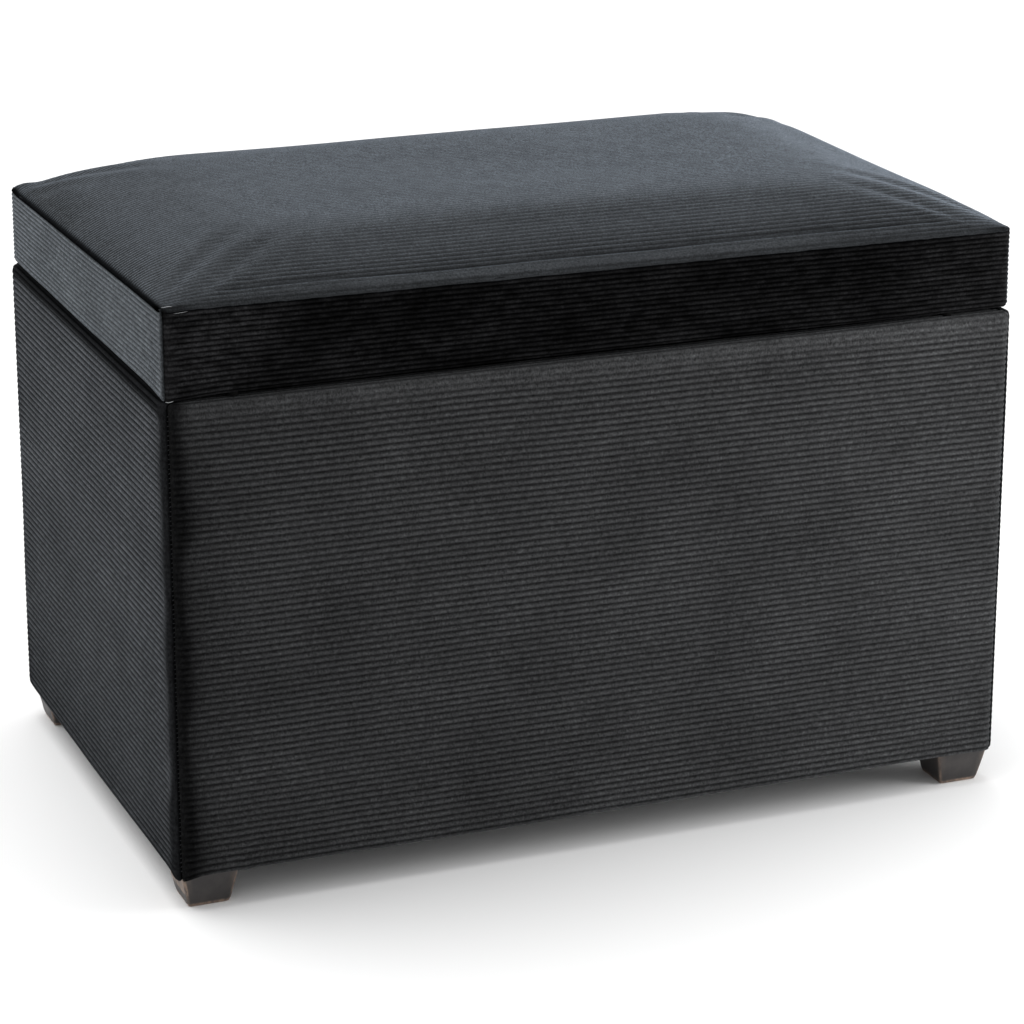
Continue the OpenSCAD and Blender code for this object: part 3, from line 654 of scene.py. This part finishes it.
class Shader:
    """A material's Principled BSDF, and short ways to build the nodes that feed it."""

    def __init__(self, name):
        self.material = bpy.data.materials.new(name)
        self.material.use_nodes = True
        self.tree = self.material.node_tree
        self.bsdf = self.tree.nodes["Principled BSDF"]

    def fill(self, made, inputs):
        """Sets a node's inputs to values, or links them to sockets."""
        for key, value in inputs.items():
            if isinstance(value, bpy.types.NodeSocket):
                self.tree.links.new(value, made.inputs[key])
            else:
                made.inputs[key].default_value = value

    def node(self, kind, inputs=None, **settings):
        made = self.tree.nodes.new(kind)
        for key, value in settings.items():
            setattr(made, key, value)
        self.fill(made, inputs or {})
        return made

    @cached_property
    def coords(self):
        return self.node("ShaderNodeTexCoord").outputs["Object"]

    def attribute(self, name):
        return self.node("ShaderNodeAttribute", attribute_name=name).outputs["Fac"]

    def noise(self, scale, detail=2.0, roughness=0.5, stretch=None):
        coords = self.coords
        if stretch is not None:
            coords = self.node("ShaderNodeMapping", {"Scale": stretch, "Vector": coords}).outputs["Vector"]
        inputs = {"Scale": scale, "Detail": detail, "Roughness": roughness, "Vector": coords}
        return self.node("ShaderNodeTexNoise", inputs).outputs["Fac"]

    def cells(self, scale, randomness=1.0):
        inputs = {"Scale": scale, "Randomness": randomness, "Vector": self.coords}
        return self.node("ShaderNodeTexVoronoi", inputs, feature="F1").outputs["Distance"]

    def remap(self, value, low, high, out_low, out_high):
        inputs = {"Value": value, "From Min": low, "From Max": high, "To Min": out_low, "To Max": out_high}
        return self.node("ShaderNodeMapRange", inputs).outputs["Result"]

    def about_one(self, noise, amount, low=0.3, high=0.7):
        """1 give or take an amount, as a noise runs from low to high."""
        return self.remap(noise, low, high, 1 - amount, 1 + amount)

    def times(self, a, b):
        return self.node("ShaderNodeMath", {0: a, 1: b}, operation="MULTIPLY").outputs[0]

    def shade(self, colour, factor):
        """A colour multiplied by a factor socket."""
        made = self.node("ShaderNodeVectorMath", {0: colour, "Scale": factor}, operation="SCALE")
        return made.outputs["Vector"]

    def mix(self, factor, first, second):
        """A colour between two others."""
        made = self.node("ShaderNodeMix", {"Factor": factor, 6: first, 7: second}, data_type="RGBA")
        return made.outputs[2]

    def bump(self, height, distance, strength):
        made = self.node("ShaderNodeBump", {"Distance": distance, "Strength": strength, "Height": height})
        self.fill(self.bsdf, {"Normal": made.outputs["Normal"]})


def corduroy(name, colour, sheen, gloss=0.12, groove=0.3, patches=0.16, blotches=0.1, tuft=0.28,
             lay=(1, 1, 0.5)):
    """Charcoal corduroy: grooves painted darker as shade, soft pile that catches light at a slant, and nap
    lying both ways.
    """
    make = Shader(name)
    # Painted shade in the grooves: the rib attribute darkens colour, sheen and gloss from crest to groove
    depth = make.remap(make.attribute("rib"), 0.0, 0.95, groove, 1.05)
    # Painted light and shade: the dark attribute darkens colour, sheen and gloss where shade is painted, and
    # lightens them where a highlight is painted
    painted_light = make.remap(make.attribute("dark"), -2.0, 1.0, 3.0, 0.0)
    nap = make.about_one(make.noise(16, 4, 0.6), patches)
    tufts = make.about_one(make.noise(330, 2, 0.6), tuft)
    blotch = make.about_one(make.noise(150, 3, 0.7, (0.6, 0.6, 1.6)), blotches, 0.38, 0.62)
    pile = make.noise(1050, 2, 0.75, lay)
    speck = make.about_one(pile, 0.6)
    shade = make.times(painted_light, blotch)
    factor = make.times(make.times(depth, nap), make.times(speck, tufts))
    fuzz = make.times(depth, make.remap(pile, 0.3, 0.7, 0.4 * sheen, 1.6 * sheen))
    make.fill(make.bsdf, {
        "Base Color": make.shade(colour, make.times(factor, shade)),
        "Roughness": 0.9,
        "Specular IOR Level": make.remap(make.times(depth, painted_light), 0.0, 1.5, 0.0, 1.5 * gloss),
        "Sheen Weight": make.times(fuzz, shade),
        "Sheen Roughness": 0.36,
        "Sheen Tint": (0.72, 0.84, 1.0, 1),
    })
    make.bump(pile, 0.35 * MM, 0.7)
    return make.material


def felt(name, colour):
    """Non-woven lining: flat fibres pressed with a fine grid of points."""
    make = Shader(name)
    fibres = make.noise(900, 3, 0.7)
    factor = make.times(make.about_one(fibres, 0.4), make.about_one(make.noise(40, 3, 0.6), 0.2))
    shaded = make.shade(colour, factor)
    make.fill(make.bsdf, {"Base Color": shaded, "Roughness": 0.85, "Specular IOR Level": 0.25})
    make.bump(make.times(make.cells(450, 0.15), fibres), 0.4 * MM, 0.8)
    return make.material


def wood(name, colour, dark, scale, stretch, roughness=0.65):
    """Bare wood, with grain that runs between two colours."""
    make = Shader(name)
    grain = make.noise(scale, 5, 0.65, stretch)
    ramp = make.node("ShaderNodeValToRGB", {"Fac": grain})
    for stop, position, shade in zip(ramp.color_ramp.elements, (0.32, 0.68), (dark, colour)):
        stop.position = position
        stop.color = (*shade, 1)
    make.fill(make.bsdf, {"Base Color": ramp.outputs["Color"], "Roughness": roughness})
    make.bump(grain, 0.3 * MM, 0.4)
    return make.material


def foot_stain(name):
    """Black-brown stain on wood, dusty and rubbed brown along its edges."""
    make = Shader(name)
    grain = make.noise(260, 4, 0.7, (1, 1, 0.35))
    cloud = make.noise(70, 4, 0.65)
    rubbed = make.times(make.attribute("worn"), make.remap(grain, 0.35, 0.65, 0.2, 1.3))
    stained = make.mix(rubbed, (0.015, 0.0125, 0.012, 1), (0.24, 0.165, 0.12, 1))
    dusty = make.mix(make.remap(cloud, 0.42, 0.75, 0.0, 0.55), stained, (0.055, 0.048, 0.046, 1))
    make.fill(make.bsdf, {"Base Color": dusty, "Roughness": make.remap(cloud, 0.3, 0.7, 0.42, 0.62)})
    make.bump(grain, 0.25 * MM, 0.35)
    return make.material


def metal(name, colour, roughness, metallic=1.0, streak=0.0, specular=0.5):
    """Metal, or with metallic 0 any hard, plain material; streak is how uneven its gloss is."""
    make = Shader(name)
    cloud = make.noise(300, 3, 0.6)
    make.fill(make.bsdf, {
        "Base Color": make.shade(colour, make.remap(cloud, 0.3, 0.7, 0.85, 1.1)),
        "Roughness": make.remap(cloud, 0.3, 0.7, roughness * (1 - streak), roughness * (1 + streak)),
        "Metallic": metallic,
        "Specular IOR Level": specular,
    })
    make.bump(cloud, 0.05 * MM, 0.3)
    return make.material


def foam_material():
    make = Shader("foam")
    cells = make.cells(900)
    factor = make.remap(cells, 0.0, 0.8, 0.7, 1.05)
    make.fill(make.bsdf, {"Base Color": make.shade((0.86, 0.8, 0.56), factor), "Roughness": 0.95})
    make.bump(cells, 0.4 * MM, 0.6)
    return make.material


# The box's and the lid's ends get lighter copies of the cloth and the lid's front and back bands a darker
# one: partly the nap lying the other way, partly painted light and shade for how light falls on each side
BOX_FRONT = corduroy("corduroy_box_front", (0.0425, 0.0435, 0.0450), 0.03)
BOX_SIDE = corduroy("corduroy_box_side", (0.058, 0.061, 0.066), 0.11, groove=0.16)
LID_FRONT = corduroy("corduroy_lid_front", (0.0062, 0.0062, 0.0066), 0.0, gloss=0.03, groove=0.12,
                     patches=0.4, blotches=0.5)
LID_SIDE = corduroy("corduroy_lid_side", (0.084, 0.092, 0.100), 0.13, groove=0.4, blotches=0.12)
SEAT_TOP = corduroy("corduroy_seat", (0.023, 0.025, 0.027), 0.365, groove=0.06, tuft=0.15, lay=(1, 0.5, 1))
LINING = felt("lining", (0.022, 0.022, 0.024))
FOAM = foam_material()
CHIPBOARD = wood("chipboard", (0.70, 0.56, 0.36), (0.42, 0.30, 0.18), 420, (1, 1, 1), 0.8)
SOFTWOOD = wood("softwood", (0.78, 0.62, 0.42), (0.56, 0.40, 0.24), 60, (0.15, 1, 1))
PLYWOOD = wood("plywood", (0.76, 0.62, 0.43), (0.60, 0.45, 0.28), 45, (0.12, 1, 1))
FOOT = foot_stain("foot_wood")
ZINC = metal("zinc_steel", (0.66, 0.67, 0.69), 0.34, streak=0.3)
BLACK = metal("black_steel", (0.028, 0.028, 0.030), 0.38, metallic=0.0, streak=0.2)
CHROME = metal("rod_chrome", (0.82, 0.82, 0.84), 0.1, streak=0.2)
PLASTIC = metal("strut_plastic", (0.05, 0.05, 0.055), 0.55, metallic=0.0)
# Nearly black and without gloss, darker than the rubber alone, so the bumpers stay in the gap's shade: black
# rubber and painted shade
RUBBER = metal("rubber", (0.005, 0.005, 0.005), 0.95, metallic=0.0, specular=0.05)
THREAD = metal("thread", (0.03, 0.031, 0.034), 0.8, metallic=0.0, specular=0.2)
THREAD_END = metal("thread_end", (0.42, 0.43, 0.44), 0.7, metallic=0.0)


def give(piece, material):
    piece.data.materials.clear()
    piece.data.materials.append(material)


def place(piece, material, body, cad_node):
    """Gives a piece its material and body, and the place of a CAD node."""
    give(piece, material)
    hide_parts(cad_node)
    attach(piece, body)


# ---------- the covers of the box and the bands of the lid ----------

TURNS = {"front": 0, "right": 90, "back": 180, "left": 270}


def cover_pieces():
    for index, (side, turn) in enumerate(TURNS.items()):
        long_side = turn % 180 == 0
        piece = side_sheet(side + "_cover_cloth", turn, BOX_STATIONS, (BOX_W, BOX_D), BOX_R, COVER_T,
                           104 if long_side else 70, 100 + 10 * index, 0.9 * MM, 2.3 * MM, hem_droop,
                           partial(box_shading, side=side), PITCH)
        place(piece, BOX_FRONT if long_side else BOX_SIDE, "box", side + "_cover")
        piece = side_sheet(side + "_band_cloth", turn, BAND_STATIONS, (LID_W, LID_D), LID_R, BAND_T,
                           180 if long_side else 120, 200 + 10 * index, 0.4 * MM, 1.0 * MM, band_lift,
                           partial(band_shading, side=side), BAND_PITCH)
        place(piece, LID_FRONT if long_side else LID_SIDE, "lid", side + "_band")


def seat_pieces():
    grid = simulate_seat()
    foam = seat_foam(grid)
    place(foam, FOAM, "lid", "seat_foam")
    cover = seat_cover(grid)
    place(cover, SEAT_TOP, "lid", "seat_cover")


cover_pieces()
seat_pieces()


# ---------- linings ----------

LINING_T = 0.8 * MM


def flat_sheet(name, cad_node, side, wave, seed, body):
    """A thin level sheet in place of a CAD node: taut at its border and a little slack between."""
    lo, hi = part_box(cad_node)
    xs, ys = ((lo[k] + hi[k]) / 2 + edge_spread(n) * (hi[k] - lo[k]) / 2 for k, n in ((0, 90), (1, 60)))
    x, y = np.meshgrid(xs, ys)
    edge = np.minimum(np.minimum(x - lo[0], hi[0] - x), np.minimum(y - lo[1], hi[1] - y))
    slack = wave * (0.5 + 0.5 * lattice_noise(x / 0.07, y / 0.05, seed)) * (1 - np.exp(-edge / (18 * MM)))
    creases = lattice_noise((x + 0.6 * y) / 0.02, (y - 0.6 * x) / 0.12, seed + 1)
    slack += 0.3 * wave * creases * np.minimum(1, edge / 0.02)
    face = (hi[2] if side > 0 else lo[2]) + side * slack
    other = np.full_like(x, lo[2] if side > 0 else hi[2])
    upper, lower = (face, other) if side > 0 else (other, face)
    upper = np.maximum(upper, lower + 0.3 * LINING_T)
    s = np.arange(len(ys), dtype=float)
    piece = close_sheet(name, np.stack([x, y, upper], axis=-1), np.stack([x, y, lower], axis=-1), s, s, 0 * x)
    place(piece, LINING, body, cad_node)


CORNERS = ((1, 1), (-1, 1), (-1, -1), (1, -1))


def round_rectangle(hx, hy, radius, steps):
    """Points anticlockwise round a rectangle with round corners; steps go along its X sides and Y sides."""
    def on_corner(corner, a):
        sx, sy = CORNERS[corner]
        x, y = sx * (hx - radius) + radius * math.cos(a), sy * (hy - radius) + radius * math.sin(a)
        return np.array((x, y))

    points = []
    for turn in range(4):
        points += [on_corner(turn, a) for a in np.linspace(0, math.pi / 2, 7) + turn * math.pi / 2]
        begin, end = points[-1], on_corner((turn + 1) % 4, (turn + 1) * math.pi / 2)
        points += [begin + (end - begin) * f for f in np.linspace(0, 1, steps[turn % 2] + 2)[1:-1]]
    return np.array(points)


def wall_lining():
    """The lining of the box's four walls, with soft corners, slack between its fixings and a turned hem."""
    lo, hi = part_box("box_lining")
    ring = round_rectangle(hi[0] - 0.05 * MM, hi[1] - 0.05 * MM, 5 * MM, (60, 40))
    along_ring = np.roll(ring, -1, axis=0) - np.roll(ring, 1, axis=0)
    along_ring /= np.linalg.norm(along_ring, axis=1, keepdims=True)
    inward = np.stack([-along_ring[:, 1], along_ring[:, 0]], axis=1)
    run = np.concatenate([[0], np.cumsum(np.linalg.norm(np.diff(ring, axis=0), axis=1))])
    thick = 0.75 * MM
    hem_rows = hi[2] - np.array([11, 9, 6, 3, 1, 0.2]) * MM
    zs = np.concatenate([np.linspace(lo[2] + 0.1 * MM, hi[2] - 14 * MM, 46), hem_rows])
    top = zs[-1]
    z, u = zs[:, None], run[None, :]
    total = run[-1] + np.linalg.norm(ring[0] - ring[-1])
    turnings = u / total * 16
    slack = 0.45 * MM * (0.5 + 0.5 * lattice_noise(turnings * 3, z / 0.09, 301))
    slack = slack + 0.25 * MM * (0.5 + 0.5 * lattice_noise(turnings * 12, z / 0.16, 302))
    slack *= np.minimum(1, (z - zs[0]) / 0.03) * np.minimum(1, (top - z) / 0.03)
    hem = 0.7 * MM * ((z > top - 11.5 * MM) & (z < top - 0.5 * MM))
    stitch_line = 0.35 * MM * bell(top - 9 * MM - z, 0.8 * MM)
    proud = thick + slack + hem - stitch_line
    inner, outer = (
        np.stack([ring[:, 0] + inward[:, 0] * off, ring[:, 1] + inward[:, 1] * off, z + 0 * off], axis=-1)
        for off in (proud, 0 * proud)
    )
    rows, cols = inner.shape[:2]
    count = rows * cols
    face = ring_faces(rows, cols)[:, [0, 3, 2, 1]]
    i = np.arange(cols)
    k = (i + 1) % cols
    low = np.stack([i, k, count + k, count + i], axis=1)
    last = (rows - 1) * cols
    high = np.stack([last + k, last + i, count + last + i, count + last + k], axis=1)
    verts = np.concatenate([inner.reshape(-1, 3), outer.reshape(-1, 3)])
    piece = new_object("box_lining_cloth", verts, [face, face[:, ::-1] + count, low, high])
    place(piece, LINING, "box", "box_lining")


wall_lining()
flat_sheet("floor_lining_cloth", "floor_lining", 1, 0.8 * MM, 311, "box")
flat_sheet("dust_cover_cloth", "dust_cover", -1, 1.0 * MM, 321, "box")
flat_sheet("lid_lining_cloth", "lid_lining", -1, 0.35 * MM, 331, "lid")


# ---------- seams and loose threads ----------

def tube(path, radius, sides=6):
    """Vertices and faces of a thread along a path of points, with closed ends."""
    path = np.asarray(path, float)
    rings = []
    for k, point in enumerate(path):
        ahead = path[min(k + 1, len(path) - 1)] - path[max(k - 1, 0)]
        ahead /= np.linalg.norm(ahead)
        across = np.cross(ahead, (0.31, 0.17, 0.93))
        across /= np.linalg.norm(across)
        up = np.cross(ahead, across)
        size = radius * (0.45 if k in (0, len(path) - 1) else 1)
        rings += [point + size * (across * math.cos(a) + up * math.sin(a))
                  for a in np.arange(sides) * 2 * math.pi / sides]
    fan = np.array([(0, n + 1, n) for n in range(1, sides - 1)])
    last = (len(path) - 1) * sides
    return np.array(rings), ring_faces(len(path), sides), np.concatenate([fan, last + fan[:, ::-1]])


def thread_piece(name, paths, radius, material, body):
    """One piece of many threads, with one radius for all of them or one for each."""
    verts, quads, tris, start = [], [], [], 0
    for path, size in zip(paths, np.broadcast_to(radius, len(paths))):
        v, q, t = tube(path, size)
        verts.append(v)
        quads.append(q + start)
        tris.append(t + start)
        start += len(v)
    piece = new_object(name, np.concatenate(verts), [np.concatenate(quads), np.concatenate(tris)])
    give(piece, material)
    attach(piece, body)


STITCH_PITCH = 3.2 * MM


def corner_stitches(end, side):
    """Slip stitches that draw two covers together down an upright corner of the box."""
    sx, sy = (-1 if side == "left" else 1), (-1 if end == "front" else 1)
    middle = np.array([sx * (BOX_W / 2 - BOX_R), sy * (BOX_D / 2 - BOX_R)])
    diagonal = math.atan2(sy, sx)
    rng = np.random.default_rng(500 + 2 * sx + sy)
    paths = []
    for z in np.arange(HEM_Z + 5 * MM, RIM_Z - 6 * MM, STITCH_PITCH):
        half, lean, deep = (rng.uniform(*limits) * MM for limits in ((0.7, 1.0), (0.2, 0.7), (1.2, 1.5)))
        path = []
        for f in (-1, -0.5, 0, 0.5, 1):
            a = diagonal + f * half / BOX_R
            out = BOX_R - deep - 0.25 * MM * f * f
            path.append((middle[0] + out * math.cos(a), middle[1] + out * math.sin(a), z + f * lean))
        paths.append(path)
    thread_piece(f"{end}_{side}_corner_stitches", paths, 0.2 * MM, THREAD, "box")


for corner_end in ("front", "back"):
    for corner_side in ("left", "right"):
        corner_stitches(corner_end, corner_side)


def loose_threads():
    """Ends of sewing thread left at the lid's front left corner, above and below the band."""
    front, left = -LID_D / 2, -LID_W / 2
    low, high = LID_Z + 0.9 * MM - CORNER_HANG, SEAM_Z + seam_lift(left, front)
    ends = [
        [(2.0, 0.9, low), (3.6, -0.35, low - 0.2 * MM), (5.4, -0.5, low), (7.0, -0.3, low + 0.3 * MM)],
        [(1.2, 0.8, high + 0.4 * MM), (3.2, -1.1, high + 0.9 * MM), (5.6, -1.3, high + 1.2 * MM),
         (7.6, -1.0, high + 0.8 * MM)],
        [(9.0, -0.4, high - 4.2 * MM), (13.0, -0.6, high - 3.9 * MM), (18.0, -0.5, high - 3.6 * MM)],
    ]
    paths = [[(left + x * MM, front + y * MM, z) for x, y, z in end] for end in ends]
    thread_piece("loose_thread_ends", paths, (0.22 * MM, 0.15 * MM, 0.11 * MM), THREAD_END, "lid")


loose_threads()


# ---------- feet ----------

FOOT_TAPER = 5.25 * MM         # how much narrower a foot is below than above, on each side
FOOT_HOLE_END = 6 * MM         # height of the end of the bolt's blind hole


def foot(cad_node, seed, left_face_lighter):
    """A tapered block with rubbed, rounded edges and a blind hole for its bolt."""
    lo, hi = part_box(cad_node)
    cx, cy = (lo[0] + hi[0]) / 2, (lo[1] + hi[1]) / 2
    top = (hi[0] - lo[0]) / 2
    height = hi[2] - lo[2]
    bottom = top - FOOT_TAPER
    corner, edge, hole = 2.2 * MM, 1.5 * MM, 3.05 * MM
    rings = [(0.25 * bottom, 0.2, 0.0, 0), (0.8 * bottom, 0.5, 0.0, 0), (bottom - edge, 0.6, 0.0, 0.4)]
    rings = [(half, min(corner, half * share), z, worn) for half, share, z, worn in rings]
    slope = (top - bottom) / height
    for f in np.linspace(0, 1, 5)[1:]:
        a = f * math.pi / 2
        rings.append((bottom - edge * (1 - math.sin(a)), corner, edge * (1 - math.cos(a)), 1.0))
    for z in np.linspace(edge, height - 0.8 * MM, 14)[1:]:
        rings.append((bottom + slope * z, corner, z, 0.0))
    rings += [(top - 0.25 * MM, corner, height - 0.2 * MM, 0.5), (top - 0.9 * MM, corner, height, 0.2),
              (hole * 1.6, hole * 1.5, height, 0), (hole, hole, height, 0), (hole, hole, FOOT_HOLE_END, 0)]
    verts, worn = [], []
    for half, radius, z, rub in rings:
        ring = round_rectangle(half, half, min(radius, half), (7, 7))
        verts.append(np.column_stack([ring, np.full(len(ring), z)]))
        near_corner = np.minimum(np.abs(ring[:, 0]), np.abs(ring[:, 1])) / half
        # The front left foot is lighter brown over most of its left face
        lighter_left_face = left_face_lighter * (ring[:, 0] < -0.9 * half) * (0.4 < z / height)
        worn.append(np.maximum(np.maximum(rub, 0.7 * np.clip((near_corner - 0.86) / 0.1, 0, 1)), lighter_left_face))
    sides = len(verts[0])
    points, worn = np.concatenate(verts), np.concatenate(worn)
    uneven = lattice_noise(points[:, 0] / 0.011 + 3 * points[:, 2] / 0.02, points[:, 1] / 0.011 + seed, seed)
    shrink = 1 - 0.012 * np.abs(uneven) * (points[:, 2] > 0) * (points[:, 2] < height - 1 * MM)
    inside = np.arange(len(points)) >= len(points) - 3 * sides
    shrink = np.where(inside, 1, shrink)
    points[:, 0] = cx + points[:, 0] * shrink
    points[:, 1] = cy + points[:, 1] * shrink
    count = len(points)
    points = np.concatenate([points, [(cx, cy, 0.0), (cx, cy, FOOT_HOLE_END)]])
    i = np.arange(sides)
    under = np.stack([np.full(sides, count), (i + 1) % sides, i], axis=1)
    last = (len(rings) - 1) * sides
    end = np.stack([np.full(sides, count + 1), last + i, last + (i + 1) % sides], axis=1)
    piece = new_object(cad_node + "_block", points, [ring_faces(len(rings), sides), under, end])
    set_attribute(piece, "worn", worn)
    place(piece, FOOT, "box", cad_node)


for foot_index, foot_name in enumerate(("front_left", "front_right", "back_left", "back_right")):
    foot(foot_name + "_foot", 601 + foot_index, 0.9 if foot_name == "front_left" else 0.0)


# ---------- CAD pieces that keep their shape ----------

FINISHES = {
    "chipboard": CHIPBOARD, "softwood": SOFTWOOD, "plywood": PLYWOOD, "zinc_steel": ZINC,
    "black_steel": BLACK, "rod_chrome": CHROME, "strut_plastic": PLASTIC, "rubber": RUBBER,
    "lining": LINING, "foot_wood": FOOT,
}
for part in frame["record"]["subparts"]:
    if part["material_slot"] in FINISHES:
        give(frame["nodes"][part["node"]], FINISHES[part["material_slot"]])


# ---------- stage: floor, light and camera ----------

def make_floor():
    verts = np.array([(-6, -6, 0), (6, -6, 0), (6, 6, 0), (-6, 6, 0)], float)
    floor = new_object("floor", verts, [np.array([[0, 1, 2, 3]])], smooth=False)
    make = Shader("floor")
    make.fill(make.bsdf, {"Base Color": (0.9, 0.9, 0.9, 1), "Roughness": 0.9, "Specular IOR Level": 0.1})
    give(floor, make.material)


def softbox(name, azimuth, elevation, distance, size, power):
    """A square soft light that faces the middle of the bench. Azimuth 0 stands at the front."""
    light = bpy.data.lights.new(name, "AREA")
    light.size = size
    light.energy = power
    a, e = math.radians(azimuth), math.radians(elevation)
    lamp = bpy.data.objects.new(name, light)
    lamp.location = (
        distance * math.sin(a) * math.cos(e),
        -distance * math.cos(a) * math.cos(e),
        0.2 + distance * math.sin(e),
    )
    lamp.rotation_euler = (math.pi / 2 - e, 0, a)
    lamp.visible_camera = False
    bpy.context.scene.collection.objects.link(lamp)


def soft_sun(name, azimuth, elevation, width, strength):
    """Even soft light from one direction, from a source this many degrees wide."""
    light = bpy.data.lights.new(name, "SUN")
    light.angle = math.radians(width)
    light.energy = strength
    lamp = bpy.data.objects.new(name, light)
    lamp.rotation_euler = (math.radians(90 - elevation), 0, math.radians(azimuth))
    bpy.context.scene.collection.objects.link(lamp)


def make_world(strength):
    world = bpy.data.worlds.new("studio")
    world.use_nodes = True
    background = world.node_tree.nodes["Background"].inputs
    background["Color"].default_value = (1, 1, 1, 1)
    background["Strength"].default_value = strength
    bpy.context.scene.world = world


def make_camera():
    camera = bpy.data.cameras.new("camera")
    camera.sensor_width = 36
    camera.lens = 123.8
    camera.shift_y = -0.0557
    camera.clip_end = 50
    holder = bpy.data.objects.new("camera", camera)
    holder.location = (-0.9021, -2.2773, 1.0025)
    holder.rotation_euler = (math.radians(90 - 17.55), 0, math.radians(-21.83))
    bpy.context.scene.collection.objects.link(holder)
    bpy.context.scene.camera = holder


make_floor()
make_world(0.66)
soft_sun("key", -140, 68, 60, 2.3)
softbox("right", 65, 5, 1.15, 0.7, 10)
make_camera()
bpy.context.scene.view_settings.view_transform = "Standard"
